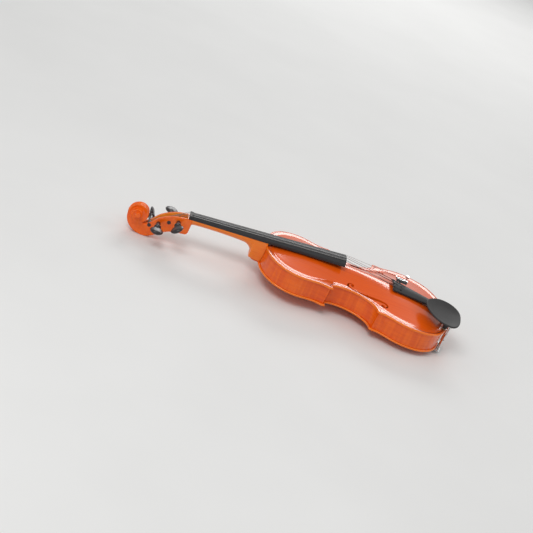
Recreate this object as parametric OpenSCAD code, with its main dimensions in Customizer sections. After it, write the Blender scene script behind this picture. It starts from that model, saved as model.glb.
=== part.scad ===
// Full-size violin lying on its back, with chin rest, four strings and no bridge.
// Built lying level, in a body frame: x runs from the neck end of the body (x = 0) to its tail,
// y runs from the bass side to the treble side, z = 0 is the lower edge of the ribs.
// in_place() then tips the whole instrument onto its scroll and back arch.

/* [Body] */
// Length of the body without the button
body_length = 356; // [350:1:360]
// Width of the upper bout
upper_bout = 168; // [164:1:172]
// Width of the waist
waist_width = 112; // [108:1:114]
// Width of the lower bout
lower_bout = 212; // [206:1:214]
// Height of the ribs
rib_height = 31; // [30:0.5:32]
// Thickness of the ribs
rib_t = 1.1; // [1:0.1:1.5]
// Thickness of the plates at their edge
edge_t = 4; // [3.5:0.1:4.5]
// Rise of the belly above its edge
belly_arch = 15.5; // [14:0.5:17]
// Rise of the back above its edge
back_arch = 15; // [14:0.5:17]

/* [Neck and fingerboard] */
// Distance from the edge of the body to the nut
neck_stop = 134.5; // [130:0.5:136]
// Length of the fingerboard
board_length = 276.5; // [265:0.5:280]
// Width of the fingerboard at the nut
board_nut_w = 24; // [23:0.5:25]
// Width of the fingerboard at its body end
board_end_w = 42; // [41:0.5:43]
// Thickness of the fingerboard at its long edges
board_edge_t = 5; // [4.5:0.1:6]
// Radius of the fingerboard's crown
board_crown_r = 42; // [40:0.5:44]
// Rise of the neck, in degrees
neck_rise = 6.9; // [6:0.1:7.5]

/* [Pegs] */
// Radius of a peg's shank in the middle of the pegbox
peg_r = 3.6; // [3.4:0.1:3.8]
// Radial clearance of a peg in its holes
peg_gap = 0.05; // [0.03:0.01:0.08]
// Distance from the middle of the pegbox to the middle of a peg's thumb piece
peg_reach = 43; // [40:1:46]
// Diameter of a peg's thumb piece
thumb_d = 23; // [20:1:25]
// Thickness of a peg's thumb piece
thumb_t = 8.4; // [7:0.2:10]

/* [Strings and tailpiece] */
// Diameters of the G, D, A and E strings
string_d = [0.8, 0.75, 0.6, 0.5]; // [0.3:0.05:1]
// Spacing of the outer strings at the nut
nut_spread = 16.5; // [15:0.5:17]
// Length of the tailpiece
tailpiece_length = 110; // [105:1:114]
// Width of the tailpiece's head
tailpiece_w = 42; // [38:1:44]

/* [Chin rest clamp] */
// Diameter of the clamp's barrels
barrel_d = 5.8; // [5:0.2:7]
// Diameter of the clamp's threaded rods
rod_d = 3; // [2.5:0.1:3.2]

/* [Hidden] */
$fn = 32;
board_slope = tan(neck_rise);
board_nut_x = -neck_stop;
board_end_x = board_nut_x + board_length;
glue_z0 = 38.4;                 // glue plane of the fingerboard at x = 0
nut_length = 5.5;
top_z = rib_height;             // underside of the belly's edge
belly_z = rib_height + edge_t;  // top of the belly's edge
eye_centre = [-223.3, -5.3];    // middle of the scroll's eyes, in x and z
scroll_centre = [-221.8, -9];   // middle of the scroll's outermost turn
rest_tilt = 3.1737;              // turn that lays the scroll and the back arch on one level
place_x = -65.19;               // moves the middle of the length to the origin
place_z = 30.864;                // lifts the lowest points to z = 0
steps = 8;                      // pieces in each curve of the outline
rings = 5;                      // rings of a plate between its flat rim and its middle line
rim = 8;                        // width of a plate's flat rim
overhang = 2.8;
post_d = 6;

// peg: x, z, side of the head, turn of the thumb piece, y of its winding
peg_g_at = [-154, 9, -1, 42, -4.6];
peg_d_at = [-185, -8, -1, 4, -2.6];
peg_a_at = [-198.5, -18, 1, 65, 1.6];
peg_e_at = [-169, 1.5, 1, 0, 4.2];

// ---------- curves ----------
function bez(b, t) = pow(1 - t, 3) * b[0] + 3 * pow(1 - t, 2) * t * b[1]
    + 3 * (1 - t) * t * t * b[2] + pow(t, 3) * b[3];
function curve(b, n) = [for (i = [0:n]) bez(b, i / n)];
function path(bs, n) = concat([for (b = bs) for (i = [0:n - 1]) bez(b, i / n)], [bs[len(bs) - 1][3]]);
function mix(a, b, f) = a + (b - a) * f;
function clamp01(v) = max(0, min(1, v));
function unit(v) = v / norm(v);
function flip(ps) = [for (i = [len(ps) - 1:-1:0]) ps[i]];
function bass(ps) = [for (p = ps) [p[0], -p[1]]];
// direction of a polyline at point i (square to the middle line where it starts or ends there),
// and the same line moved d to its right
function heading(ps, i) = abs(ps[i][1]) < 0.001 ? [0, i == 0 ? 1 : -1]
    : unit(ps[min(i + 1, len(ps) - 1)] - ps[max(i - 1, 0)]);
function shifted(ps, d) = [for (i = [0:len(ps) - 1]) let (h = heading(ps, i)) ps[i] + d * [h[1], -h[0]]];
// crossing of the line through p along u with the line through q along v
function meet(p, u, q, v) = p + u * ((q[0] - p[0]) * v[1] - (q[1] - p[1]) * v[0])
    / (u[0] * v[1] - u[1] * v[0]);
function clear_of(ps, q, r) = [for (p = ps) if (norm(p - q) > r) p];
// closed band between two lines that lie d1 and d2 to the right of ps
function band(ps, d1, d2) = concat(shifted(ps, d1), flip(shifted(ps, d2)));

// ---------- outline of the plates, treble half ----------
L = body_length;
U = upper_bout / 2;
W = waist_width / 2;
B = lower_bout / 2;
corner_u = [[0.3455 * L, 0.9345 * U], [0.3638 * L, 0.905 * U]];
corner_l = [[0.598 * L, 0.877 * B], [0.6166 * L, 0.8915 * B]];
upper_edge = path([[[0, 0], [0, 0.536 * U], [0.062 * L, U], [0.191 * L, U]],
    [[0.191 * L, U], [0.242 * L, U], [0.289 * L, 0.851 * U], corner_u[0]]], steps);
waist_edge = path([[corner_u[1], [0.3455 * L, 1.125 * W], [0.393 * L, W], [0.458 * L, W]],
    [[0.458 * L, W], [0.528 * L, W], [0.607 * L, 1.286 * W], corner_l[0]]], steps);
lower_edge = path([[corner_l[1], [0.663 * L, 0.858 * B], [0.708 * L, B], [0.778 * L, B]],
    [[0.778 * L, B], [0.921 * L, B], [L, 0.68 * B], [L, 0]]], steps);
edge_half = concat(upper_edge, waist_edge, lower_edge);
// inner border of the flat rim, smooth past the corners
flat_in = [[[rim, 0], [rim, 0.476 * U], [0.073 * L, U - rim], [0.191 * L, U - rim]],
    [[0.191 * L, U - rim], [0.281 * L, U - rim], [0.331 * L, W - rim], [0.458 * L, W - rim]],
    [[0.458 * L, W - rim], [0.576 * L, W - rim], [0.632 * L, B - rim], [0.778 * L, B - rim]],
    [[0.778 * L, B - rim], [0.899 * L, B - rim], [L - rim, 0.642 * B], [L - rim, 0]]];
inner_half = concat([for (i = [0:steps - 1]) bez(flat_in[0], i / steps)],
    [for (k = [1, 2]) for (i = [0:2 * steps]) bez(flat_in[k], i / (2 * steps + 1))],
    curve(flat_in[3], steps));
function middle(p) = [mix(0.084 * L, 0.916 * L, (p[0] - rim) / (L - 2 * rim)), 0];
function both(ps) = concat(ps, bass(flip([for (i = [1:len(ps) - 2]) ps[i]])));
edge_loop = both(edge_half);
inner_loop = both(inner_half);
middle_loop = [for (p = inner_loop) middle(p)];
count = len(edge_loop);
plate_rings = concat([edge_loop], [for (j = [0:rings])
    [for (i = [0:count - 1]) mix(inner_loop[i], middle_loop[i], j / rings)]]);

// ---------- arching ----------
function half_width(x) = lookup(x, inner_half);
function long_arch(x) = pow(1 - pow(clamp01(abs(x - L / 2) / (L / 2 - rim)), 2.4), 1.05);
function cross_arch(f) = (1 - cos(180 * pow(clamp01(f), 0.85))) / 2;
function arch(x, y) = long_arch(x) * cross_arch(1 - abs(y) / max(half_width(x), 1));
function belly_out(x, y) = belly_z + belly_arch * arch(x, y);
function belly_in(x, y) = top_z + 1.07 * belly_arch * arch(x, y);
function back_out(x, y) = -edge_t - back_arch * arch(x, y);
function back_in(x, y) = -0.97 * back_arch * arch(x, y);

// closed shell from the plate's rings, given its upper and lower surfaces as point lists
function wall_faces(a, b) = [for (i = [0:count - 1]) let (k = (i + 1) % count)
    each [[a + i, b + i, a + k], [b + i, b + k, a + k]]];
module shell(upper, lower) {
    last = len(plate_rings) - 1;
    under = (last + 1) * count;
    polyhedron(points = concat(upper, lower), faces = concat(
        [for (j = [0:last - 1]) each wall_faces((j + 1) * count, j * count)],
        [for (j = [0:last - 1]) each wall_faces(under + j * count, under + (j + 1) * count)],
        wall_faces(0, under)));
}

// ---------- ribs ----------
rib_corner_u = [0.3511 * L, 0.881 * U];
rib_corner_l = [0.6096 * L, 0.852 * B];
rib_upper = path([[[overhang, 0], [overhang, 0.512 * U], [0.067 * L, U - overhang],
    [0.191 * L, U - overhang]], [[0.191 * L, U - overhang], [0.242 * L, U - overhang],
    [0.292 * L, 0.815 * U], rib_corner_u]], steps);
rib_waist = path([[rib_corner_u, [0.3357 * L, 1.107 * W], [0.382 * L, W - overhang],
    [0.458 * L, W - overhang]], [[0.458 * L, W - overhang], [0.534 * L, W - overhang],
    [0.608 * L, 1.232 * W], rib_corner_l]], steps);
rib_lower = path([[rib_corner_l, [0.668 * L, 0.8255 * B], [0.711 * L, B - overhang],
    [0.778 * L, B - overhang]], [[0.778 * L, B - overhang], [0.916 * L, B - overhang],
    [L - overhang, 0.66 * B], [L - overhang, 0]]], steps);
function first_dir(ps) = unit(ps[1] - ps[0]);
function last_dir(ps) = unit(ps[len(ps) - 1] - ps[len(ps) - 2]);
function right_of(h) = [h[1], -h[0]];
// corner of two lines moved d inwards, where line a ends and line b begins
function mitre(a, b, d) = let (u = last_dir(a), v = first_dir(b))
    meet(a[len(a) - 1] + d * right_of(u), u, b[0] + d * right_of(v), v);
corner_in_u = mitre(rib_upper, rib_waist, rib_t);
corner_in_l = mitre(rib_waist, rib_lower, rib_t);
function inside(ps, d, a, b) = [for (i = [a:b]) shifted(ps, d)[i]];
rib_last = 2 * steps;
upper_in = concat(inside(rib_upper, rib_t, 0, rib_last - 1), [corner_in_u]);
waist_in = concat([corner_in_u], inside(rib_waist, rib_t, 1, rib_last - 1), [corner_in_l]);
lower_in = concat([corner_in_l], inside(rib_lower, rib_t, 1, rib_last));

// ---------- neck ----------
function glue_z(x) = glue_z0 + board_slope * x;
function board_half(x) = mix(board_nut_w, board_end_w, (x - board_nut_x) / board_length) / 2;
// rise of a crown of half width h at the share f of that half width
function crown_rise(h, f) = sqrt(pow(board_crown_r, 2) - pow(f * h, 2)) - sqrt(pow(board_crown_r, 2) - h * h);
function board_top(x, y) = let (f = y / board_half(x)) glue_z(x) + board_edge_t
    + mix(crown_rise(board_nut_w / 2, f), crown_rise(board_end_w / 2, f), (x - board_nut_x) / board_length);
// x, z of the underside, roundness of the section
neck_line = [[-134.5, 6.2, 2.3], [-130, 10.6, 2.1], [-122, 12.4, 2], [-105, 14.6, 2], [-80, 17.1, 2],
    [-52, 18.9, 2], [-36, 19.2, 2], [-29, 17.6, 2.1], [-24, 14.2, 2.2], [-21, 10, 2.3],
    [-19.4, 3, 2.5], [-18.6, -5, 2.7], [-16, -9, 2.8], [2.6, -11, 3]];
neck_sides = 16;
function neck_half(x) = board_half(x) + 0.8 * clamp01((x + 36) / 20);
function neck_ring(s) = [for (k = [0:neck_sides]) let (a = 180 * k / neck_sides, e = 2 / s[2])
    [s[0], neck_half(s[0]) * sign(cos(a)) * pow(abs(cos(a)), e),
     glue_z(s[0]) - (glue_z(s[0]) - s[1]) * pow(abs(sin(a)), e)]];
root_x = 8;                     // how far the neck's root reaches into the block
root_half = [12, 17];           // half widths of the root at z = 0 and at the fingerboard

// ---------- head: side view, in x and z ----------
head_front = concat(curve([[-134.5, 22], [-153, 20.4], [-171, 15.2], [-187.5, 0.8]], 8),
    [for (i = [1:6]) bez([[-187.5, 0.8], [-194.5, -6.5], [-196.5, -15.5], [-209.6, -20.8]], i / 6)]);
head_back = concat(curve([[-241.2, -10], [-241.2, -30], [-225, -42.3], [-205.4, -42.3]], 8),
    [for (i = [1:8]) bez([[-205.4, -42.3], [-188, -42.3], [-181, -25], [-163.3, -15.4]], i / 8)],
    [for (i = [1:4]) bez([[-163.3, -15.4], [-154, -10.5], [-143, -9.8], [-134.5, -7.2]], i / 4)]);
// radius and half width of the scroll at turn angle a, from the front over the top
function turn_r(a) = lookup(a, [[0, 19.4], [90, 18.9], [200, 16.3], [290, 13.6], [360, 11.8],
    [450, 9.4], [560, 6.8], [640, 5.4], [720, 4.6]]);
function turn_half(a) = lookup(a, [[0, 6.6], [120, 8], [240, 10.5], [360, 13], [480, 16],
    [600, 18.6], [720, 21]]);
function turn_centre(a) = mix(scroll_centre, eye_centre, clamp01(a / 600));
function turn_point(a) = turn_centre(a) + turn_r(a) * [-cos(a), sin(a)];
box_half = [[-245, 6.4], [-222, 7.2], [-205, 8.4], [-180, 10.6], [-154, 12.4], [-134.5, 13.2]];
cavity_half = [[-204.4, 4.1], [-185, 5.4], [-169, 6.5], [-154, 7.6], [-143, 8.2]];

// ---------- strings ----------
string_f = [-1, -1 / 3, 1 / 3, 1];
string_lean = 35;               // slope of the strings in the pegbox, in degrees
function nut_y(n) = nut_spread / 2 * string_f[n];
nut_top = 7.6;                  // height of the nut above the glue plane, at its middle
function over_board(x, y, n) = board_top(x, y) + string_d[n] / 2 + 0.18;
nut_front_x = board_nut_x - nut_length - 1;   // where the strings bend down to the pegs
// height of a string above the glue plane where it leaves the nut
function at_nut(n) = over_board(board_nut_x, nut_y(n), n) - glue_z(board_nut_x);
head_x = 238;                   // head end of the tailpiece
hook_y = [-14.6, -4.9, 4.9, 14.6];
tail_z = [50.2, 43.4];          // underside corners of the tailpiece at its head and tail ends
hook_x = head_x + 15;
function piece_z(x) = mix(tail_z[0], tail_z[1], (x - head_x) / tailpiece_length);
function piece_half(x) = lookup(x, [[head_x, tailpiece_w / 2], [head_x + 20, tailpiece_w / 2 - 2.6],
    [head_x + 55, 14.2], [head_x + 90, 11], [head_x + tailpiece_length, 10]]);
function piece_crown(x) = lookup(x, [[head_x, 5.2], [head_x + 50, 4.4], [head_x + tailpiece_length, 2.6]]);
function piece_top(x, y) = piece_z(x) + 3 + piece_crown(x) * (1 - pow(y / piece_half(x), 2));
tuner = [hook_x, hook_y[3], piece_top(hook_x, hook_y[3]) + 1.2];   // fine tuner's post on the tailpiece
function peg_of(n) = [peg_g_at, peg_d_at, peg_a_at, peg_e_at][n];
function wound_r(n) = peg_r + peg_of(n)[2] * peg_of(n)[4] / 60 + string_d[n] + 0.1;
function string_route(n) = let (p = peg_of(n), y0 = nut_y(n), y1 = hook_y[n] * 0.86,
        w = wound_r(n) + string_d[n] / 2 + 0.35)
    [[p[0] - w * sin(string_lean), p[4], p[1] + w * cos(string_lean)],
     [nut_front_x, y0, glue_z(nut_front_x) + at_nut(n)],
     [board_nut_x, y0, glue_z(board_nut_x) + at_nut(n)],
     [board_nut_x + 40, mix(y0, y1, 0.11), over_board(board_nut_x + 40, mix(y0, y1, 0.11), n)],
     [board_end_x - 1, mix(y0, y1, 0.74), over_board(board_end_x - 1, mix(y0, y1, 0.74), n)],
     each n == 3 ? [tuner + [-12.3, 0, 8.2]]
     : [[head_x + 1.5, hook_y[n], piece_top(head_x + 1.5, hook_y[n]) + string_d[n] / 2 + 0.3],
        [hook_x - 1.2, hook_y[n], piece_top(hook_x, hook_y[n]) - 0.6]]];

// keeps a carved shape with no bores as a single faceted surface
module one_mesh() {
    resize([0, 0, 0]) children();
}
module in_place() {
    translate([place_x, 0, place_z]) rotate([0, rest_tilt, 0]) children();
}
module prism(ps, z0, z1) {
    translate([0, 0, z0]) linear_extrude(z1 - z0) polygon(ps);
}
// x, z outline pulled out to both sides of the middle plane
module side_prism(ps, half) {
    rotate([90, 0, 0]) translate([0, 0, -half]) linear_extrude(2 * half) polygon(ps);
}
// smooth tube of radius r along the points, with its rings square to the path
module tube(ps, r, sides = 8) {
    n = len(ps);
    function along(i) = unit(ps[min(i + 1, n - 1)] - ps[max(i - 1, 0)]);
    function across(i) = let (t = along(i)) unit(cross(t, abs(t[1]) < 0.9 ? [0, 1, 0] : [1, 0, 0]));
    pts = [for (i = [0:n - 1]) let (t = along(i), u = across(i), v = cross(t, u))
        for (k = [0:sides - 1]) let (a = 360 * k / sides) ps[i] + r * (cos(a) * u + sin(a) * v)];
    polyhedron(points = pts, faces = concat([[for (k = [0:sides - 1]) k]],
        [[for (k = [sides - 1:-1:0]) (n - 1) * sides + k]],
        [for (i = [0:n - 2]) for (k = [0:sides - 1]) let (a = i * sides + k, b = i * sides + (k + 1) % sides)
            each [[a, a + sides, b], [b, a + sides, b + sides]]]));
}

// ---------- f-holes ----------
sound_hole = path([[[165.4, 36.4], [160.5, 34.8], [156.2, 38], [157.4, 42.2]],
    [[157.4, 42.2], [159.6, 48.6], [178, 50.4], [194.5, 53]],
    [[194.5, 53], [211, 55.6], [229.4, 57.6], [231.4, 63.8]],
    [[231.4, 63.8], [232.8, 68.2], [228.6, 71.4], [223.6, 70.2]]], 8);
function slit(i) = 0.8 + 1.9 * pow(sin(180 * i / 32), 1.6);
module sound_hole_half() {
    h = sound_hole;
    polygon(concat([for (i = [0:32]) h[i] + slit(i) * right_of(heading(h, i))],
        [for (i = [32:-1:0]) h[i] - slit(i) * right_of(heading(h, i))]));
    translate([165.6, 38.3]) circle(r = 2.7);
    translate([223.4, 67.6]) circle(r = 3.4);
    for (s = [-1, 1]) translate([194.5, 53] + s * 2.4 * [-0.16, 0.99]) rotate(45) square(2.2, center = true);
}
module sound_holes() {
    for (s = [0, 1]) mirror([0, s]) sound_hole_half();
}

// ---------- purfling ----------
purfling_in = 4;
purfling_w = 1.3;
function rim_line(d) = let (a = clear_of(shifted(upper_edge, d), mitre(upper_edge, waist_edge, d), 1.2 * d),
        b = clear_of(clear_of(shifted(waist_edge, d), corner_u[1], 1.6 * d), corner_l[0], 1.6 * d),
        c = clear_of(shifted(lower_edge, d), mitre(waist_edge, lower_edge, d), 1.2 * d))
    concat(a, [mitre(upper_edge, waist_edge, d)], b, [mitre(waist_edge, lower_edge, d)], c);
module rim_area(d) {
    ps = rim_line(d);
    polygon(concat(ps, bass(flip(ps))));
}
module purfling(z0, z1) {
    translate([0, 0, z0]) linear_extrude(z1 - z0) difference() {
        rim_area(purfling_in);
        rim_area(purfling_in + purfling_w);
    }
}

// ---------- plates ----------
saddle_x = L - 8;
saddle_half = 17;
module top_plate() {
    color([0.86, 0.33, 0.08]) one_mesh() difference() {
        shell([for (r = plate_rings) for (p = r) [p[0], p[1], belly_out(p[0], p[1])]],
            [for (r = plate_rings) for (p = r) [p[0], p[1], belly_in(p[0], p[1])]]);
        translate([0, 0, top_z - 1]) linear_extrude(30) sound_holes();
        purfling(belly_z - 2, belly_z + 1);
        translate([-1, -root_half[1], top_z - 1]) cube([root_x + 1, 2 * root_half[1], edge_t + 8]);
        translate([saddle_x, -saddle_half, top_z - 1]) cube([L, 2 * saddle_half, edge_t + 8]);
    }
}
button_r = 11;
module back_plate() {
    color([0.82, 0.3, 0.07]) one_mesh() difference() {
        union() {
            shell([for (r = plate_rings) for (p = r) [p[0], p[1], back_in(p[0], p[1])]],
                [for (r = plate_rings) for (p = r) [p[0], p[1], back_out(p[0], p[1])]]);
            translate([0, 0, -edge_t]) linear_extrude(edge_t) difference() {
                union() {
                    translate([-4.5, 0]) circle(r = button_r);
                    translate([-4.5, -button_r]) square([6.5, 2 * button_r]);
                }
                translate([2, -20]) square(40);
            }
        }
        purfling(-edge_t - 1, -edge_t + 1.8);
    }
}
module purfling_top() {
    color([0.13, 0.09, 0.07]) difference() {
        purfling(belly_z - 2, belly_z);
        translate([-1, -root_half[1], 0]) cube([root_x + 1, 2 * root_half[1], 60]);
        translate([saddle_x, -saddle_half, 0]) cube([L, 2 * saddle_half, 60]);
    }
}
module purfling_back() {
    color([0.13, 0.09, 0.07]) purfling(-edge_t, -edge_t + 1.8);
}

// ---------- ribs, blocks and linings ----------
module rib(outer, inner) {
    color([0.85, 0.36, 0.1]) prism(concat(outer, flip(inner)), 0, rib_height);
}
module neck_root() {
    rotate([90, 0, 90]) translate([0, 0, 2.6]) linear_extrude(root_x - 2.6)
        polygon([[-root_half[0], 0], [root_half[0], 0], [root_half[1], glue_z(2.6)],
            [-root_half[1], glue_z(2.6)]]);
}
module upper_rib() {
    difference() {
        rib(rib_upper, upper_in);
        neck_root();
    }
}
module lower_rib() {
    difference() {
        rib(rib_lower, lower_in);
        button_shank(0.04);
    }
}
module upper_block() {
    near = [for (p = upper_in) if (p[1] < 25) p];
    color("burlywood") difference() {
        prism(concat([[18, 25]], flip(near), bass([for (i = [1:len(near) - 1]) near[i]]), [[18, -25]]),
            0.02, rib_height - 0.02);
        neck_root();
    }
}
module lower_block() {
    near = [for (p = lower_in) if (p[1] < 25) p];
    color("burlywood") difference() {
        prism(concat([[L - 18, 25]], near, bass(flip([for (i = [0:len(near) - 2]) near[i]])),
            [[L - 18, -25]]), 0.02, rib_height - 0.02);
        button_shank(0.04);
    }
}
block_n = 3;                    // curve pieces that a corner block covers on each rib
module corner_pair() {
    n = rib_last;
    top = rib_height - 0.02;
    before_u = [for (i = [n - block_n:n]) upper_in[i]];
    before_l = [for (i = [n - block_n - 1:n]) waist_in[i]];
    prism(concat(before_u, [for (i = [1:block_n + 1]) waist_in[i]]), 0.02, top);
    prism(concat(before_l, [for (i = [1:block_n]) lower_in[i]]), 0.02, top);
}
module corner_blocks() {
    color("burlywood") for (s = [0, 1]) mirror([0, s, 0]) corner_pair();
}
lining_t = 2;
lining_h = 7;
module lining_half(z) {
    n = rib_last;
    for (q = [[upper_in, 4, n - block_n], [waist_in, block_n + 1, n - block_n - 1],
            [lower_in, block_n, n - 3]]) {
        line = [for (i = [q[1]:q[2]]) q[0][i]];
        prism(band(line, 0.02, lining_t), z, z + lining_h);
    }
}
module linings_top() {
    color("burlywood") for (s = [0, 1]) mirror([0, s, 0]) lining_half(rib_height - lining_h - 0.02);
}
module linings_back() {
    color("burlywood") for (s = [0, 1]) mirror([0, s, 0]) lining_half(0.02);
}
bar_y = -16;
bar_x = [46, 312];
module bass_bar() {
    n = 20;
    xs = [for (i = [0:n]) mix(bar_x[0], bar_x[1], i / n)];
    function under_belly(x) = belly_in(x, abs(bar_y) + 3);
    color("tan") translate([0, bar_y, 0]) side_prism(concat([for (x = xs) [x, under_belly(x) - 0.25]],
        [for (i = [n:-1:0]) [xs[i], under_belly(xs[i]) - 3 - 8.5 * pow(sin(180 * i / n), 0.8)]]), 2.75);
}
post_at = [202, 20];
module soundpost() {
    low = back_in(post_at[0], post_at[1]) + 1.1;
    high = belly_in(post_at[0] + 3, post_at[1] + 3) - 0.5;
    color("wheat") translate([post_at[0], post_at[1], low]) cylinder(h = high - low, d = post_d);
}

// ---------- neck with pegbox and scroll ----------
module neck_shaft() {
    n = len(neck_line);
    m = neck_sides + 1;
    pts = [for (s = neck_line) each neck_ring(s)];
    polyhedron(points = pts, faces = concat([[for (k = [m - 1:-1:0]) k]],
        [[for (k = [0:m - 1]) (n - 1) * m + k]],
        [for (i = [0:n - 2]) for (k = [0:m - 1]) let (a = i * m + k, b = i * m + (k + 1) % m)
            each [[a, b, a + m], [b, b + m, a + m]]]));
}
module head_blank() {
    intersection() {
        side_prism(concat(flip(head_front), [[-131, 22.4], [-131, 10.4]],
            flip([for (i = [9:len(head_back) - 1]) head_back[i]]), [[-205.4, -42.3]],
            flip([for (i = [0:7]) head_back[i]]), [[-236, -12]]), 14);
        prism(concat(box_half, [[-131, 13.2], [-131, -13.2]], flip(bass(box_half))), -60, 40);
    }
}
module scroll_turns() {
    for (k = [0:12]) side_prism([for (a = [0:15:345]) turn_point(min(60 * k + a, 720))],
        turn_half(60 * k));
}
module pegbox_cavity() {
    difference() {
        translate([0, 0, -40]) linear_extrude(80) polygon(concat(cavity_half, flip(bass(cavity_half))));
        side_prism(concat([for (i = [8:len(head_back) - 1]) head_back[i] + [0, 6.5]],
            [[-130, -60], [-215, -60]]), 20);
    }
}
module peg_axis(p) {
    translate([p[0], 0, p[1]]) rotate([p[2] < 0 ? 90 : -90, 0, 0]) children();
}
module neck() {
    color([0.9, 0.45, 0.12]) difference() {
        one_mesh() {
            difference() {
                neck_shaft();
                translate([-60, -30, -40]) cube([80, 60, 40]);
            }
            neck_root();
            difference() {
                union() {
                    head_blank();
                    scroll_turns();
                }
                pegbox_cavity();
            }
        }
        for (n = [0:3]) peg_axis(peg_of(n)) translate([0, 0, -16])
            cylinder(h = 32, r1 = peg_r - 16 / 60 + peg_gap, r2 = peg_r + 16 / 60 + peg_gap);
    }
}
module fingerboard() {
    n = 14;
    xs = [board_nut_x, board_end_x];
    ring = function(x) let (h = board_half(x)) concat([for (k = [0:n]) let (y = mix(-h, h, k / n))
        [x, y, board_top(x, y)]], [[x, h, glue_z(x)], [x, -h, glue_z(x)]]);
    m = n + 3;
    color([0.1, 0.1, 0.1]) polyhedron(points = concat(ring(xs[0]), ring(xs[1])), faces = concat(
        [[for (k = [m - 1:-1:0]) k]], [[for (k = [0:m - 1]) m + k]],
        [for (k = [0:m - 1]) let (b = (k + 1) % m) each [[k, b, m + k], [b, m + b, m + k]]]));
}
module nut() {
    half = board_nut_w / 2;
    color([0.1, 0.1, 0.1]) translate([board_nut_x, 0, glue_z(board_nut_x)]) rotate([0, -neck_rise, 0])
        difference() {
            intersection() {
                translate([-nut_length, -half, 0]) cube([nut_length, 2 * half, 8]);
                translate([-nut_length, 0, nut_top - board_crown_r]) rotate([0, 90, 0])
                    cylinder(h = nut_length, r = board_crown_r, $fn = 96);
            }
            for (n = [0:3]) translate([-nut_length - 1, nut_y(n), at_nut(n)]) {
                rotate([0, 90, 0]) cylinder(h = nut_length + 2, r = string_d[n] / 2 + 0.3);
                translate([0, -string_d[n] / 2 - 0.3, 0]) cube([nut_length + 2, string_d[n] + 0.6, 4]);
            }
        }
}

// ---------- pegs ----------
collar_at = peg_reach - thumb_d / 2 - 4.5;
module peg(p) {
    tip = lookup(p[0], box_half) + 0.9;
    lens_r = (thumb_d * thumb_d + thumb_t * thumb_t) / (4 * thumb_t);
    shank_r = function(w) peg_r + w / 60;
    color([0.12, 0.11, 0.11]) peg_axis(p) rotate([0, 0, p[3]]) {
        rotate_extrude() polygon([[0, -tip], [shank_r(-tip) - 0.5, -tip], [shank_r(-tip), -tip + 0.5],
            [shank_r(collar_at), collar_at], [6, collar_at + 0.4], [6.3, collar_at + 1.2], [6, collar_at + 2],
            [4.4, collar_at + 2.4], [4, collar_at + 4], [4.2, collar_at + 8], [0, collar_at + 8]]);
        intersection() {
            translate([0, thumb_t / 2 - lens_r, peg_reach]) sphere(r = lens_r, $fn = 64);
            translate([0, lens_r - thumb_t / 2, peg_reach]) sphere(r = lens_r, $fn = 64);
        }
    }
}
module winding(n) {
    p = peg_of(n);
    w = p[2] * p[4];
    color("silver") peg_axis(p) translate([0, 0, w - 1.7]) difference() {
        cylinder(h = 3.4, r = wound_r(n));
        translate([0, 0, -1]) cylinder(h = 5.4, r1 = peg_r + (w - 2.7) / 60, r2 = peg_r + (w + 2.7) / 60);
    }
}
module string(n) {
    color(n == 3 ? "gainsboro" : "silver") tube(string_route(n), string_d[n] / 2);
}
module string_ball_ends() {
    color("goldenrod") for (n = [0:2])
        translate([hook_x, hook_y[n], piece_top(hook_x, hook_y[n]) - 2.6]) sphere(d = 2.4);
}

// ---------- tail end ----------
button_z = 17;
module button_shank(gap) {
    translate([L - 17, 0, button_z]) rotate([0, 90, 0]) cylinder(h = 17, r1 = 3.4 + gap, r2 = 3.9 + gap);
}
button_head = [8.4, 9];         // radius and start of the round head, from the edge of the body
module end_button() {
    h = button_head;
    color([0.1, 0.1, 0.1]) union() {
        button_shank(0);
        translate([L - 0.02, 0, button_z]) rotate([0, 90, 0]) rotate_extrude() polygon(concat(
            [[0, 0], [3.9, 0], [3.9, -overhang + 0.1], [6.6, -overhang + 0.1], [6.6, 0.6], [5, 1.6],
            [4.6, 3.4], [5, 5.2], [h[0] - 0.4, 6.6], [h[0], 7.2], [h[0], 12.2]],
            [for (a = [15:15:90]) [h[0] * cos(a), 12.2 + 3.2 * sin(a)]]));
    }
}
module saddle() {
    color([0.1, 0.1, 0.1]) side_prism([[saddle_x + 0.02, top_z + 0.02], [L + 0.4, top_z + 0.02],
        [L + 0.4, belly_z + 2.8], [L - 0.8, belly_z + 4.6], [L - 2.8, belly_z + 5.2],
        [L - 4.8, belly_z + 4.4], [saddle_x + 0.02, belly_z + 0.6]], saddle_half - 0.02);
}
gut_y = 3.6;
gut_r = 0.9;
gut_x = L + 3.4;                // where the gut lies in the end button's groove
tail_x = head_x + tailpiece_length;
gut_side = [[tail_x - 9.5, gut_y, 45.6], [tail_x + 0.5, gut_y, 44.6], [L - 3, gut_y, 41.6],
    [L + 1.2, gut_y + 0.4, 39.6], [L + 2.6, gut_y + 1.1, 34], [gut_x, 6.2, 21]];
module tailgut() {
    n = 7;
    turn = [for (k = [1:n - 1]) let (a = 180 * k / n) [gut_x, 6.2 * cos(a), button_z + 1 - 7.4 * sin(a)]];
    other = [for (p = flip(gut_side)) [p[0], -p[1], p[2]]];
    color([0.2, 0.2, 0.2]) tube(concat(gut_side, turn, other), gut_r, 10);
}
module tailgut_nuts() {
    color("goldenrod") for (s = [-1, 1]) translate([tail_x - 13.4, s * gut_y, 45.9]) rotate([0, 95, 0])
        cylinder(h = 2.6, r = 1.7);
}
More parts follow.
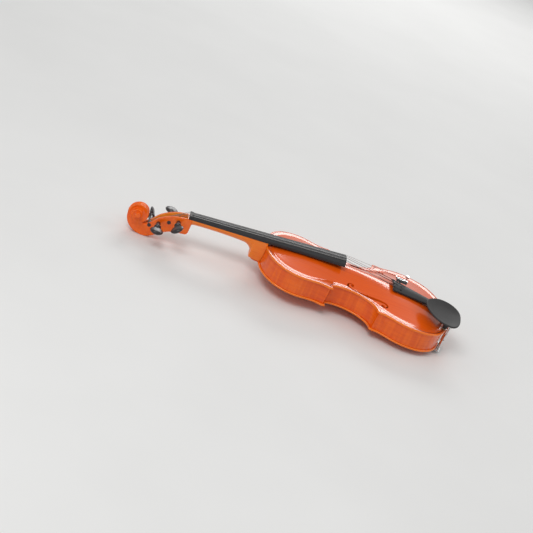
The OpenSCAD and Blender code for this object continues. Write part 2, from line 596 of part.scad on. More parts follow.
module tailpiece() {
    n = 10;
    xs = [for (i = [0:11]) head_x + tailpiece_length * i / 11];
    ring = function(x) let (h = piece_half(x)) concat(
        [for (k = [0:n]) let (y = mix(-h, h, k / n)) [x, y, piece_top(x, y)]],
        [for (k = [n:-1:0]) let (y = mix(-h, h, k / n))
            [x, y, piece_z(x) + (piece_crown(x) - 0.6) * (1 - pow(y / h, 2))]]);
    m = 2 * n + 2;
    pts = [for (x = xs) each ring(x)];
    color([0.13, 0.13, 0.13]) difference() {
        union() {
            polyhedron(points = pts, faces = concat([[for (k = [m - 1:-1:0]) k]],
                [[for (k = [0:m - 1]) (len(xs) - 1) * m + k]],
                [for (i = [0:len(xs) - 2]) for (k = [0:m - 1]) let (a = i * m + k, b = i * m + (k + 1) % m)
                    each [[a, b, a + m], [b, b + m, a + m]]]));
            translate([tail_x - 22, -7, piece_z(tail_x) + 0.4]) cube([22, 14, 4]);
        }
        for (n = [0:3]) translate([hook_x, hook_y[n], 40]) {
            cylinder(h = 30, r = 1.7);
            translate([-hook_x + head_x - 1, -0.6, 0]) cube([hook_x - head_x + 1, 1.2, 30]);
        }
        for (s = [-1, 1]) translate([tail_x - 14, s * gut_y, 46]) rotate([0, 95, 0])
            cylinder(h = 16, r = 1.2);
        translate([tail_x - 16, -6.2, 40]) cube([6.2, 12.4, 8.4]);
    }
}

// ---------- fine tuner of the E string ----------
tuner_rod_r = 1.25;
screw_dx = 8;                   // from the post to the screw
module tuner_frame() {
    color("silver") translate(tuner) difference() {
        union() {
            translate([-8.6, -3.1, 1]) cube([20.6, 1.2, 6.2]);
            translate([-8.6, 1.9, 1]) cube([20.6, 1.2, 6.2]);
            translate([4.6, -3.1, 4.8]) cube([7.4, 6.2, 2.4]);
            translate([-1.5, -1.9, 0.7]) cube([4, 3.8, 1]);
            translate([0, 0, -6.4]) cylinder(h = 7.4, r = 1.5);
        }
        translate([screw_dx, 0, 0]) cylinder(h = 12, r = tuner_rod_r + 0.05);
        translate([-5.6, -5, 4.6]) rotate([-90, 0, 0]) cylinder(h = 10, r = 0.75);
    }
}
module tuner_pin() {
    color("silver") translate(tuner + [-5.6, -3.4, 4.6]) rotate([-90, 0, 0]) cylinder(h = 6.8, r = 0.75);
}
module tuner_lever() {
    color("silver") translate(tuner) difference() {
        side_prism([[-7.4, 3.4], [-5.8, 2.8], [11, 2.5], [11, 3.5], [-3.6, 4.4], [-4.2, 6.4], [-9.8, 7],
            [-10.4, 9], [-11.6, 8.6], [-10.9, 5.6], [-7.4, 5.4]], 1.5);
        translate([-5.6, -5, 4.6]) rotate([-90, 0, 0]) cylinder(h = 10, r = 0.8);
    }
}
module tuner_shank() {
    color("silver") translate(tuner + [screw_dx, 0, 3.8]) cylinder(h = 9.2, r = tuner_rod_r);
}
module tuner_knob() {
    color("silver") translate(tuner + [screw_dx, 0, 13.1]) difference() {
        cylinder(h = 3.6, r = 3.6);
        for (k = [0:15]) rotate(k * 22.5) translate([3.75, 0, -1]) cylinder(h = 6, r = 0.35, $fn = 16);
    }
}
module tuner_ring_nut() {
    color("silver") translate(tuner + [0, 0, -6.4]) difference() {
        cylinder(h = 0.9, r = 2.3);
        translate([0, 0, -1]) cylinder(h = 4, r = 1.54);
    }
}

// ---------- chin rest ----------
cup_edge = path([[[299, -34], [299, -20], [316, -4], [336, -4]],
    [[336, -4], [353, -4], [367, -15], [367, -33]],
    [[367, -33], [367, -58], [360, -78], [342, -78]], [[342, -78], [327, -78], [318, -72], [310, -63]],
    [[310, -63], [303, -55], [299, -44], [299, -34]]], 7);
cup_middle = [337, -40];
cup_loop = [for (i = [0:len(cup_edge) - 2]) cup_edge[i]];
function cup_plane(p) = 59.6 + 0.13 * (p[1] + 38) - 0.02 * (p[0] - 336);
// share of the way from the middle to the edge, and height above the tilted rim plane
cup_section = [[0, -5.2], [0.3, -4.9], [0.6, -3.6], [0.82, -1.6], [0.93, -0.2], [0.98, 0], [1, -0.6], [1, -2],
    [0.96, -3.4], [0.8, -5.6], [0.55, -7.6], [0.3, -8.4], [0, -8.6]];
module cup() {
    n = len(cup_loop);
    inner = [for (j = [1:len(cup_section) - 2]) cup_section[j]];
    m = len(inner);
    function at(p, s) = let (q = mix(cup_middle, p, s[0])) [q[0], q[1], cup_plane(q) + s[1]];
    ends = [at(cup_middle, cup_section[0]), at(cup_middle, cup_section[m + 1])];
    polyhedron(points = concat([for (s = inner) for (p = cup_loop) at(p, s)], ends), faces = concat(
        [for (i = [0:n - 1]) [m * n, i, (i + 1) % n]],
        [for (i = [0:n - 1]) [m * n + 1, (m - 1) * n + (i + 1) % n, (m - 1) * n + i]],
        [for (j = [0:m - 2]) for (i = [0:n - 1]) let (a = j * n + i, b = j * n + (i + 1) % n)
            each [[a, a + n, b], [b, a + n, b + n]]]));
}
rest_line = bass([for (i = [0:8]) bez([[0.778 * L, B], [0.921 * L, B], [L, 0.68 * B], [L, 0]],
    mix(0.66, 0.9, i / 8))]);
function along_rest(d) = shifted(rest_line, -d);
function rest_band(d1, d2) = concat(along_rest(d1), flip(along_rest(d2)));
cork_t = 2;
bracket_z = belly_z + 9;
module chin_rest() {
    color([0.14, 0.14, 0.15]) difference() {
        union() {
            cup();
            prism(rest_band(1, 8), belly_z + cork_t, belly_z + 17);
        }
        prism(rest_band(-2, 5.02), bracket_z - 0.02, bracket_z + 2.02);
    }
}
module chin_rest_cork() {
    color("peru") prism(rest_band(1, 7.6), belly_z, belly_z + cork_t);
}
clamp_1 = shifted(rest_line, 4.6)[2];
clamp_2 = shifted(rest_line, 4.6)[6];
module chin_rest_bracket() {
    color("silver") prism(rest_band(-7.6, 5), bracket_z, bracket_z + 2);
}
barrel_low = 4;
barrel_h = 22;
bore_deep = 9.5;
module chin_rest_studs() {
    color("silver") for (c = [clamp_1, clamp_2]) translate([c[0], c[1], barrel_low + barrel_h - 8])
        cylinder(h = bracket_z - barrel_low - barrel_h + 8, d = rod_d);
}
module clamp_barrel(c) {
    color("silver") translate([c[0], c[1], barrel_low]) difference() {
        cylinder(h = barrel_h, d = barrel_d);
        translate([0, 0, -1]) cylinder(h = bore_deep + 1, d = rod_d + 0.1);
        translate([0, 0, barrel_h - bore_deep]) cylinder(h = bore_deep + 1, d = rod_d + 0.1);
        translate([0, 0, barrel_h / 2]) rotate([90, 0, 0]) translate([0, 0, -5]) cylinder(h = 10, r = 0.9);
    }
}
foot_t = 1.6;
foot_z = -edge_t - cork_t - foot_t - 0.1;
module clamp_foot() {
    color("silver") union() {
        prism(rest_band(-7.6, 7.6), foot_z, foot_z + foot_t);
        for (c = [clamp_1, clamp_2]) translate([c[0], c[1], foot_z + foot_t / 2])
            cylinder(h = barrel_low + 8 - foot_z - foot_t / 2, d = rod_d);
    }
}
module clamp_foot_cork() {
    color("peru") prism(rest_band(1, 7.6), foot_z + foot_t, -edge_t - 0.1);
}

in_place() top_plate();
in_place() back_plate();
in_place() mirror([0, 1, 0]) upper_rib();  // rib_upper_bass
in_place() upper_rib();  // rib_upper_treble
in_place() mirror([0, 1, 0]) rib(rib_waist, waist_in);  // rib_waist_bass
in_place() rib(rib_waist, waist_in);  // rib_waist_treble
in_place() mirror([0, 1, 0]) lower_rib();  // rib_lower_bass
in_place() lower_rib();  // rib_lower_treble
in_place() upper_block();
in_place() lower_block();
in_place() corner_blocks();
in_place() linings_top();
in_place() linings_back();
in_place() bass_bar();
in_place() soundpost();
in_place() purfling_top();
in_place() purfling_back();
in_place() neck();
in_place() fingerboard();
in_place() nut();
in_place() saddle();
in_place() end_button();
in_place() tailpiece();
in_place() tailgut();
in_place() tailgut_nuts();
in_place() tuner_frame();
in_place() tuner_shank();
in_place() tuner_knob();
in_place() tuner_lever();
in_place() tuner_pin();
in_place() tuner_ring_nut();
in_place() peg(peg_g_at);  // peg_g
in_place() peg(peg_d_at);  // peg_d
in_place() peg(peg_a_at);  // peg_a
in_place() peg(peg_e_at);  // peg_e
in_place() string(0);  // string_g
in_place() string(1);  // string_d
in_place() string(2);  // string_a
in_place() string(3);  // string_e
in_place() winding(0);  // winding_g
in_place() winding(1);  // winding_d
in_place() winding(2);  // winding_a
in_place() winding(3);  // winding_e
in_place() string_ball_ends();
in_place() chin_rest();
in_place() chin_rest_cork();
in_place() chin_rest_bracket();
in_place() chin_rest_studs();
in_place() clamp_barrel(clamp_1);  // clamp_barrel_front
in_place() clamp_barrel(clamp_2);  // clamp_barrel_rear
in_place() clamp_foot();
in_place() clamp_foot_cork();
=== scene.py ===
"""Looks of the violin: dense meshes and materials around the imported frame.

Shapes are built in the violin's own frame V, in millimetres, as it would lie level: x from the neck end
of the body to its tail, y to the treble side, z = 0 at the lower edge of the ribs. put() carries them
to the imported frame, in metres, where the violin lies on its scroll and its back arch.
"""
import math

import bmesh
import bpy
import numpy as np
from mathutils import Matrix, Vector


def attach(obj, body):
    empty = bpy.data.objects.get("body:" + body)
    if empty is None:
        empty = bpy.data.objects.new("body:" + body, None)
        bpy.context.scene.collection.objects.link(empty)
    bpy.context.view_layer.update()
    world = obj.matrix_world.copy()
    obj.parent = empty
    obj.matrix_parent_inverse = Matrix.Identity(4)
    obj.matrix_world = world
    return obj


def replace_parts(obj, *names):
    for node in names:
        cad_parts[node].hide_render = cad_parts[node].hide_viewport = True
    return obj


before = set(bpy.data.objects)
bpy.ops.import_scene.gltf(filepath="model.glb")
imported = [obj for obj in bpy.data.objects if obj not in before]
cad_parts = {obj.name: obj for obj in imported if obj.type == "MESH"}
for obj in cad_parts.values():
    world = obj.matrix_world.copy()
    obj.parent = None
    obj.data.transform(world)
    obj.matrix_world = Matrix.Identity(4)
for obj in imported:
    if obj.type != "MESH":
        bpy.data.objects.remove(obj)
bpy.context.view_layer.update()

# ---------------------------------------------------------------- resting place
REST_TILT = math.radians(3.1737)
PLACE = Vector((-65.19, 0.0, 30.864))
TO_ROW = (Matrix.Scale(0.001, 4) @ Matrix.Translation(PLACE) @ Matrix.Rotation(REST_TILT, 4, "Y"))

# ---------------------------------------------------------------- main sizes, in mm
BODY = 356.0
UPPER, WAIST, LOWER = 84.0, 56.0, 106.0
RIB_H, RIB_T, EDGE_T = 31.0, 1.1, 4.0
BELLY_Z = RIB_H + EDGE_T
BELLY_ARCH, BACK_ARCH = 15.5, 15.0
RIM = 8.0
NUT_X, BOARD_END_X = -134.5, 142.0
BOARD_SLOPE = math.tan(math.radians(6.9))
GLUE_Z0 = 38.4
CROWN_R = 42.0
BOARD_EDGE_T = 5.0
PEG_R, PEG_REACH = 3.6, 43.0
HEAD_X, HOOK_X, TAIL_X = 238.0, 253.0, 348.0
HOOK_Y = (-14.6, -4.9, 4.9, 14.6)
STRING_D = (0.8, 0.75, 0.6, 0.5)
# x, z, side of the head, turn of the thumb piece, y of the winding
PEGS = {"g": (-154, 9, -1, 42, -4.6), "d": (-185, -8, -1, 4, -2.6),
        "a": (-198.5, -18, 1, 65, 1.6), "e": (-169, 1.5, 1, 0, 4.2)}


# ---------------------------------------------------------------- curves
def bez(b, t):
    b = np.asarray(b, float)
    t = np.asarray(t, float)[..., None]
    return (1 - t) ** 3 * b[0] + 3 * (1 - t) ** 2 * t * b[1] + 3 * (1 - t) * t * t * b[2] + t ** 3 * b[3]


def path(beziers, n):
    parts = [bez(b, np.arange(n) / n) for b in beziers]
    return np.vstack(parts + [np.asarray(beziers[-1][3:], float)])


def scaled(points, width):
    """Outline points given as shares of the body's length and of a half width."""
    return [(x * BODY, y * width) for x, y in points]


def lerp(a, b, f):
    return a + (b - a) * f


def headings(ps):
    d = np.gradient(ps, axis=0)
    return d / np.linalg.norm(d, axis=1)[:, None]


def moved_right(ps, d):
    """The polyline ps moved d to its right; d may be a number for each point."""
    h = headings(ps)
    for end in (0, -1):
        if abs(ps[end][1]) < 1e-3:
            h[end] = (0, 1 if end == 0 else -1)
    return ps + np.stack([h[:, 1], -h[:, 0]], 1) * np.reshape(d, (-1, 1))


STEPS = 24
CORNER_U = np.array([(0.3455 * BODY, 0.9345 * UPPER), (0.3638 * BODY, 0.905 * UPPER)])
CORNER_L = np.array([(0.598 * BODY, 0.877 * LOWER), (0.6166 * BODY, 0.8915 * LOWER)])
upper_edge = path([scaled([(0, 0), (0, 0.536), (0.062, 1), (0.191, 1)], UPPER),
                   scaled([(0.191, 1), (0.242, 1), (0.289, 0.851)], UPPER) + [tuple(CORNER_U[0])]], STEPS)
waist_edge = path([[tuple(CORNER_U[1])] + scaled([(0.3455, 1.125), (0.393, 1), (0.458, 1)], WAIST),
                   scaled([(0.458, 1), (0.528, 1), (0.607, 1.286)], WAIST) + [tuple(CORNER_L[0])]], STEPS)
lower_edge = path([[tuple(CORNER_L[1])] + scaled([(0.663, 0.858), (0.708, 1), (0.778, 1)], LOWER),
                   scaled([(0.778, 1), (0.921, 1), (1, 0.68), (1, 0)], LOWER)], STEPS)
edge_half = np.vstack([upper_edge, waist_edge, lower_edge])
U_IN, W_IN, L_IN = UPPER - RIM, WAIST - RIM, LOWER - RIM
flat_in = [
    [(RIM, 0), (RIM, 0.476 * UPPER), (0.073 * BODY, U_IN), (0.191 * BODY, U_IN)],
    [(0.191 * BODY, U_IN), (0.281 * BODY, U_IN), (0.331 * BODY, W_IN), (0.458 * BODY, W_IN)],
    [(0.458 * BODY, W_IN), (0.576 * BODY, W_IN), (0.632 * BODY, L_IN), (0.778 * BODY, L_IN)],
    [(0.778 * BODY, L_IN), (0.899 * BODY, L_IN), (BODY - RIM, 0.642 * LOWER), (BODY - RIM, 0)]]
inner_half = np.vstack(
    [bez(flat_in[0], np.arange(STEPS) / STEPS)]
    + [bez(flat_in[k], np.arange(2 * STEPS + 1) / (2 * STEPS + 1)) for k in (1, 2)]
    + [bez(flat_in[3], np.arange(STEPS + 1) / STEPS)])


# ---------------------------------------------------------------- arching
def long_arch(x):
    s = np.clip(np.abs(x - BODY / 2) / (BODY / 2 - RIM), 0, 1)
    return (1 - s ** 2.4) ** 1.05


def arch(x, y):
    width = np.maximum(np.interp(x, inner_half[:, 0], inner_half[:, 1]), 1)
    f = np.clip(1 - np.abs(y) / width, 0, 1)
    return long_arch(x) * (1 - np.cos(np.pi * f ** 0.85)) / 2


# ---------------------------------------------------------------- mesh tools
def put(name, verts, faces, materials, body="instrument", sharp=35.0, face_slot=None):
    """A new object from V-frame points, riding on a body, smooth except at sharp angles."""
    mesh = bpy.data.meshes.new(name)
    points = [tuple(float(c) for c in v) for v in verts]
    mesh.from_pydata(points, [], [tuple(int(i) for i in f) for f in faces])
    for m in materials:
        mesh.materials.append(m)
    if face_slot is not None:
        for polygon, k in zip(mesh.polygons, face_slot):
            polygon.material_index = int(k)
    obj = bpy.data.objects.new(name, mesh)
    bpy.context.scene.collection.objects.link(obj)
    clean(obj, sharp)
    mesh.transform(TO_ROW)
    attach(obj, body)
    return obj


def clean(obj, sharp, weld=0.0008):
    """Welds, turns the faces outward and marks the sharp edges."""
    bm = bmesh.new()
    bm.from_mesh(obj.data)
    bmesh.ops.remove_doubles(bm, verts=bm.verts, dist=weld)
    bmesh.ops.dissolve_degenerate(bm, edges=bm.edges, dist=1e-5)
    bmesh.ops.recalc_face_normals(bm, faces=bm.faces)
    limit = math.radians(sharp)
    for face in bm.faces:
        face.smooth = True
    for edge in bm.edges:
        edge.smooth = len(edge.link_faces) != 2 or edge.calc_face_angle(0) < limit
    bm.to_mesh(obj.data)
    bm.free()


def grid_faces(rows, cols, closed=False):
    """Faces of a grid of points, each row closed to a ring if asked."""
    faces = []
    for i in range(rows - 1):
        for j in range(cols if closed else cols - 1):
            here, there, b = i * cols, (i + 1) * cols, (j + 1) % cols
            faces.append((here + j, here + b, there + b, there + j))
    return faces


def loft(sections):
    """Points and faces of closed sections (n, m, 3) joined one after another, with both ends capped."""
    s = np.asarray(sections, float)
    n, m = s.shape[:2]
    faces = grid_faces(n, m, closed=True)
    faces += [tuple(range(m))[::-1], tuple((n - 1) * m + k for k in range(m))]
    return s.reshape(-1, 3), faces


def joined(*meshes):
    verts, faces, count = [], [], 0
    for v, f in meshes:
        verts.append(np.asarray(v, float))
        faces += [tuple(i + count for i in face) for face in f]
        count += len(v)
    return np.vstack(verts), faces


def mirrored(mesh):
    v, f = mesh
    return np.asarray(v) * (1, -1, 1), [tuple(reversed(face)) for face in f]


def cut(obj, cutter):
    """Takes the cutter's solid out of the object and drops the cutter."""
    mod = obj.modifiers.new("cut", "BOOLEAN")
    mod.operation, mod.solver, mod.object, mod.use_self = "DIFFERENCE", "EXACT", cutter, True
    bpy.context.view_layer.objects.active = obj
    bpy.ops.object.modifier_apply(modifier=mod.name)
    bpy.data.objects.remove(cutter)


def tool(name, verts, faces):
    """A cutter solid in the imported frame; it isn't a piece."""
    mesh = bpy.data.meshes.new(name)
    mesh.from_pydata([tuple(float(c) for c in v) for v in verts], [], faces)
    obj = bpy.data.objects.new(name, mesh)
    bpy.context.scene.collection.objects.link(obj)
    clean(obj, 30)
    mesh.transform(TO_ROW)
    return obj


def prism(outline, z0, z1):
    """Points and faces of an upright solid over an outline."""
    o = np.asarray(outline, float)
    n = len(o)
    v = np.vstack([np.c_[o, np.full(n, z0)], np.c_[o, np.full(n, z1)]])
    faces = [(i, (i + 1) % n, n + (i + 1) % n, n + i) for i in range(n)]
    return v, faces + [tuple(range(n))[::-1], tuple(range(n, 2 * n))]


def tube(points, radius, sides=12):
    """Round tube along points, its radius a number or one for each point."""
    p = np.asarray(points, float)
    d = np.gradient(p, axis=0)
    d /= np.linalg.norm(d, axis=1)[:, None]
    r = np.broadcast_to(radius, (len(p),))
    side = np.cross(d[0], (0.0, 0.31, 0.95))
    rings = []
    for i in range(len(p)):
        side = side - d[i] * side.dot(d[i])
        side /= np.linalg.norm(side)
        other = np.cross(d[i], side)
        a = np.arange(sides) * 2 * math.pi / sides
        rings.append(p[i] + r[i] * (np.cos(a)[:, None] * side + np.sin(a)[:, None] * other))
    return loft(rings)


def smooth_path(points, n):
    """Catmull-Rom curve through points, n pieces between each pair."""
    p = np.asarray(points, float)
    p = np.vstack([2 * p[0] - p[1], p, 2 * p[-1] - p[-2]])
    out = []
    for i in range(1, len(p) - 2):
        for t in np.arange(n) / n:
            a, b, c, d = p[i - 1:i + 3]
            out.append(0.5 * (2 * b + (c - a) * t + (2 * a - 5 * b + 4 * c - d) * t * t
                              + (3 * b - a - 3 * c + d) * t ** 3))
    return np.vstack(out + [p[-2]])


# ---------------------------------------------------------------- materials
class Shader:
    """Small helper around one material's node tree."""

    def __init__(self, name):
        self.mat = bpy.data.materials.new(name)
        self.mat.use_nodes = True
        self.tree = self.mat.node_tree
        self.bsdf = self.tree.nodes["Principled BSDF"]
        self.coords = self.tree.nodes.new("ShaderNodeTexCoord").outputs["Object"]

    def link(self, a, b):
        self.tree.links.new(a, b)

    def mapped(self, scale):
        m = self.tree.nodes.new("ShaderNodeMapping")
        m.inputs["Scale"].default_value = scale
        self.link(self.coords, m.inputs["Vector"])
        return m.outputs["Vector"]

    def noise(self, vector, scale, detail=3.0, rough=0.55, distortion=0.0):
        n = self.tree.nodes.new("ShaderNodeTexNoise")
        n.inputs["Scale"].default_value = scale
        n.inputs["Detail"].default_value = detail
        n.inputs["Roughness"].default_value = rough
        n.inputs["Distortion"].default_value = distortion
        self.link(vector, n.inputs["Vector"])
        return n.outputs["Fac"]

    def ramp(self, value, stops):
        r = self.tree.nodes.new("ShaderNodeValToRGB")
        while len(r.color_ramp.elements) < len(stops):
            r.color_ramp.elements.new(0.5)
        for e, (at, colour) in zip(r.color_ramp.elements, stops):
            e.position = at
            e.color = (*colour, 1)
        self.link(value, r.inputs["Fac"])
        return r.outputs["Color"]

    def mix(self, a, b, factor):
        m = self.tree.nodes.new("ShaderNodeMix")
        m.data_type = "RGBA"
        for value, socket in ((factor, m.inputs[0]), (a, m.inputs[6]), (b, m.inputs[7])):
            if isinstance(value, (int, float)):
                socket.default_value = value
            elif isinstance(value, tuple):
                socket.default_value = (*value, 1)
            else:
                self.link(value, socket)
        return m.outputs[2]

    def colour(self, value):
        self.link(value, self.bsdf.inputs["Base Color"])

    def rough(self, value, low, high):
        r = self.tree.nodes.new("ShaderNodeMapRange")
        r.inputs["To Min"].default_value = low
        r.inputs["To Max"].default_value = high
        self.link(value, r.inputs["Value"])
        self.link(r.outputs["Result"], self.bsdf.inputs["Roughness"])

    def bump(self, height, strength, distance=0.0002):
        b = self.tree.nodes.new("ShaderNodeBump")
        b.inputs["Strength"].default_value = strength
        b.inputs["Distance"].default_value = distance
        self.link(height, b.inputs["Height"])
        self.link(b.outputs["Normal"], self.bsdf.inputs["Normal"])

    def set(self, **values):
        for key, value in values.items():
            self.bsdf.inputs[key.replace("_", " ")].default_value = value


def varnish(name, pale, body, deep, grain, gloss=0.16, flame=None):
    """Clear glossy varnish over wood; grain is the scale of the fibres along x, y and z."""
    s = Shader(name)
    fibres = s.noise(s.mapped(grain), 1.0, 4.0, 0.6)
    cloud = s.noise(s.mapped((9, 9, 9)), 1.0, 2.0, 0.5)
    wood = s.ramp(fibres, [(0.28, deep), (0.5, body), (0.74, pale)])
    shade = s.ramp(cloud, [(0.3, tuple(c * 0.84 for c in body)), (0.7, body)])
    wood = s.mix(wood, shade, 0.5)
    if flame:
        bands = s.noise(s.mapped(flame), 1.0, 2.0, 0.45, 0.6)
        wood = s.mix(wood, s.ramp(bands, [(0.38, deep), (0.62, pale)]), 0.3)
    s.colour(wood)
    s.rough(cloud, gloss, gloss + 0.08)
    s.bump(fibres, 0.05)
    s.set(Coat_Weight=0.4, Coat_Roughness=0.08, Specular_IOR_Level=0.3)
    return s.mat


def blackened(name, base, gloss, coat=0.0, grain=(60, 900, 900), streak=0.35):
    """Ebony or stained black wood with fine pores."""
    s = Shader(name)
    pores = s.noise(s.mapped(grain), 1.0, 5.0, 0.65)
    cloud = s.noise(s.mapped((22, 22, 22)), 1.0, 3.0, 0.5)
    dark = tuple(c * (1 - streak) for c in base)
    light = tuple(c * (1 + streak) for c in base)
    fine = s.ramp(pores, [(0.3, dark), (0.72, light)])
    broad = s.ramp(cloud, [(0.3, dark), (0.7, light)])
    s.colour(s.mix(fine, broad, 0.4))
    s.rough(cloud, gloss, gloss + 0.12)
    s.bump(pores, 0.12)
    s.set(Coat_Weight=coat, Coat_Roughness=0.2)
    return s.mat


def metal(name, base, gloss, scale=400):
    s = Shader(name)
    wear = s.noise(s.mapped((scale, scale, scale)), 1.0, 4.0, 0.6)
    s.colour(s.ramp(wear, [(0.3, tuple(c * 0.82 for c in base)), (0.7, base)]))
    s.rough(wear, gloss, gloss + 0.12)
    s.bump(wear, 0.04)
    s.set(Metallic=1.0)
    return s.mat


def bare(name, pale, dark, scale, gloss=0.6):
    s = Shader(name)
    fibres = s.noise(s.mapped(scale), 1.0, 4.0, 0.6)
    s.colour(s.ramp(fibres, [(0.3, dark), (0.7, pale)]))
    s.rough(fibres, gloss, gloss + 0.15)
    s.bump(fibres, 0.2)
    return s.mat


def wound(name, base, turns_per_m):
    """Flat-wound string: fine rings along its length."""
    s = Shader(name)
    rings = s.tree.nodes.new("ShaderNodeTexWave")
    rings.inputs["Scale"].default_value = turns_per_m
    s.link(s.coords, rings.inputs["Vector"])
    tone = s.noise(s.mapped((300, 300, 300)), 1.0)
    s.colour(s.ramp(tone, [(0.3, tuple(c * 0.8 for c in base)), (0.7, base)]))
    s.rough(tone, 0.25, 0.4)
    s.bump(rings.outputs["Fac"], 0.1, 0.00005)
    s.set(Metallic=0.9)
    return s.mat


# each varnish: its pale, middle and deep colours, then the scale of its fibres
SPRUCE = varnish("spruce_varnish", (0.96, 0.155, 0.006), (0.88, 0.11, 0.004), (0.76, 0.075, 0.003),
                 (6, 520, 40))
MAPLE = varnish("maple_varnish", (0.98, 0.185, 0.006), (0.86, 0.12, 0.004), (0.66, 0.06, 0.003),
                (30, 30, 260), flame=(130, 130, 9))
BACK_MAPLE = varnish("back_varnish", (0.97, 0.17, 0.006), (0.84, 0.11, 0.004), (0.62, 0.055, 0.003),
                     (14, 300, 60), flame=(120, 12, 12))
# paler, brighter varnish for the rounded edges of both plates, above and below: a painted highlight along the
# edge bead
EDGE_HIGHLIGHT = varnish("edge_highlight_varnish", (1.0, 0.27, 0.02), (0.95, 0.2, 0.012), (0.84, 0.14, 0.008), (20, 300, 300))
HEAD = varnish("head_varnish", (1.0, 0.19, 0.006), (0.93, 0.14, 0.004), (0.78, 0.085, 0.003),
               (35, 260, 200), flame=(110, 20, 60))
SHAFT = varnish("shaft_varnish", (1.0, 0.3, 0.025), (0.96, 0.22, 0.012), (0.84, 0.15, 0.008),
                (12, 420, 420), gloss=0.3)
INSIDE = varnish("pegbox_inside", (1.0, 0.4, 0.05), (0.97, 0.3, 0.025), (0.8, 0.18, 0.01),
                 (25, 300, 300), gloss=0.4)
EBONY = blackened("ebony", (0.016, 0.015, 0.015), 0.42)
BOARD = blackened("board_ebony", (0.02, 0.02, 0.022), 0.38)
PEG_BLACK = blackened("peg_wood", (0.022, 0.015, 0.016), 0.28, coat=0.25, grain=(500, 70, 500))
PIECE_BLACK = blackened("tailpiece_wood", (0.024, 0.024, 0.025), 0.42)
REST_BLACK = blackened("chin_rest_wood", (0.03, 0.029, 0.029), 0.55, grain=(300, 300, 300), streak=0.2)
INLAY = bare("inlay", (0.06, 0.012, 0.005), (0.025, 0.008, 0.004), (60, 600, 600), 0.35)
BARE = bare("bare_spruce", (0.72, 0.55, 0.34), (0.55, 0.38, 0.2), (12, 500, 500))
CORK = bare("cork", (0.5, 0.32, 0.17), (0.28, 0.16, 0.08), (900, 900, 900), 0.8)
NICKEL = metal("nickel", (0.78, 0.78, 0.78), 0.14)
BRASS = metal("brass", (0.78, 0.56, 0.24), 0.2)
STEEL = wound("string_steel", (0.34, 0.33, 0.32), 900)
SILK = bare("silk", (0.05, 0.045, 0.05), (0.02, 0.018, 0.02), (1500, 1500, 1500), 0.5)
GUT = bare("nylon_gut", (0.05, 0.05, 0.05), (0.02, 0.02, 0.02), (400, 400, 400), 0.35)


# ---------------------------------------------------------------- plates
def loop_of(half):
    return np.vstack([half, half[1:-1][::-1] * (1, -1)])


edge_loop, inner_loop = loop_of(edge_half), loop_of(inner_half)
middle_x = lerp(0.084 * BODY, 0.916 * BODY, (inner_loop[:, 0] - RIM) / (BODY - 2 * RIM))
middle_loop = np.c_[middle_x, np.zeros(len(middle_x))]
ROUND = [(0.0, 2.0), (0.12, 1.35), (0.45, 0.7), (0.95, 0.28), (1.6, 0.06), (2.4, 0.0)]  # inset, drop
RINGS = 22


def plate(name, materials, sign, base, rise, inner_rise, replaced):
    """One arched plate; sign is +1 for the belly and -1 for the back."""
    spoke = inner_loop - edge_loop
    length = np.linalg.norm(spoke, axis=1)[:, None]
    outer, under, highlight_ring = [], [], []
    half = EDGE_T / 2
    for inset, drop in ROUND:
        p = edge_loop + spoke * inset / length
        outer.append(np.c_[p, np.full(len(p), base + sign * (half - drop))])
        under.append(np.c_[p, np.full(len(p), base - sign * (half - drop))])
        highlight_ring.append(1)
    for share in (0.6, 1.0):
        p = lerp(edge_loop, inner_loop, share)
        outer.append(np.c_[p, np.full(len(p), base + sign * half)])
        under.append(np.c_[p, np.full(len(p), base - sign * half)])
        highlight_ring.append(0)
    for j in range(1, RINGS + 1):
        f = j / RINGS
        p = lerp(inner_loop, middle_loop, f)
        h = arch(p[:, 0], p[:, 1])
        scoop = 0.55 * np.exp(-((f - 0.09) / 0.07) ** 2)
        outer.append(np.c_[p, base + sign * (half + rise * h - scoop)])
        under.append(np.c_[p, base + sign * (-half + inner_rise * h)])
        highlight_ring.append(0)
    n, count = len(edge_loop), len(outer)
    verts = np.vstack(outer + under[1:])
    faces, slots = [], []
    # faces of the edge rounding take slot 1, the paler varnish of the painted edge highlight
    for k in range(count - 1):
        for i in range(n):
            b = (i + 1) % n
            faces.append((k * n + i, k * n + b, (k + 1) * n + b, (k + 1) * n + i))
            slots.append(highlight_ring[k + 1] if k < len(ROUND) - 2 else 0)
    ring = [0] + [count + k for k in range(count - 1)]
    for k in range(count - 1):
        for i in range(n):
            b = (i + 1) % n
            faces.append((ring[k + 1] * n + i, ring[k + 1] * n + b, ring[k] * n + b, ring[k] * n + i))
            slots.append(1 if k < len(ROUND) - 2 else 0)
    obj = put(name, verts, faces, materials, face_slot=slots)
    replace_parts(obj, *replaced)
    return obj


SOUND_HOLE = path([[(165.4, 36.4), (160.5, 34.8), (156.2, 38), (157.4, 42.2)],
                   [(157.4, 42.2), (159.6, 48.6), (178, 50.4), (194.5, 53)],
                   [(194.5, 53), (211, 55.6), (229.4, 57.6), (231.4, 63.8)],
                   [(231.4, 63.8), (232.8, 68.2), (228.6, 71.4), (223.6, 70.2)]], 14)


def disc(centre, radius, n=28):
    a = np.arange(n) * 2 * math.pi / n
    return np.c_[centre[0] + radius * np.cos(a), centre[1] + radius * np.sin(a)]


def cut_sound_holes(obj):
    t = np.linspace(0, 1, len(SOUND_HOLE))
    half = 0.8 + 1.9 * np.sin(np.pi * t) ** 1.6
    stem = np.vstack([moved_right(SOUND_HOLE, half), moved_right(SOUND_HOLE, -half)[::-1]])
    notches = []
    for s in (-1, 1):
        tip, foot = 53 + s * 4.6, 53 + s * 1.8
        notches.append(np.array([(194.1 - s * 0.4, tip), (193.1 - s * 0.4, foot), (195.9 - s * 0.4, foot)]))
    upper_eye, lower_eye = disc((165.6, 38.3), 2.7), disc((223.4, 67.6), 3.4)
    for outline in [stem, upper_eye, lower_eye] + notches:
        for side in (1, -1):
            cut(obj, tool("hole", *prism(outline * (1, side), 20, 70)))


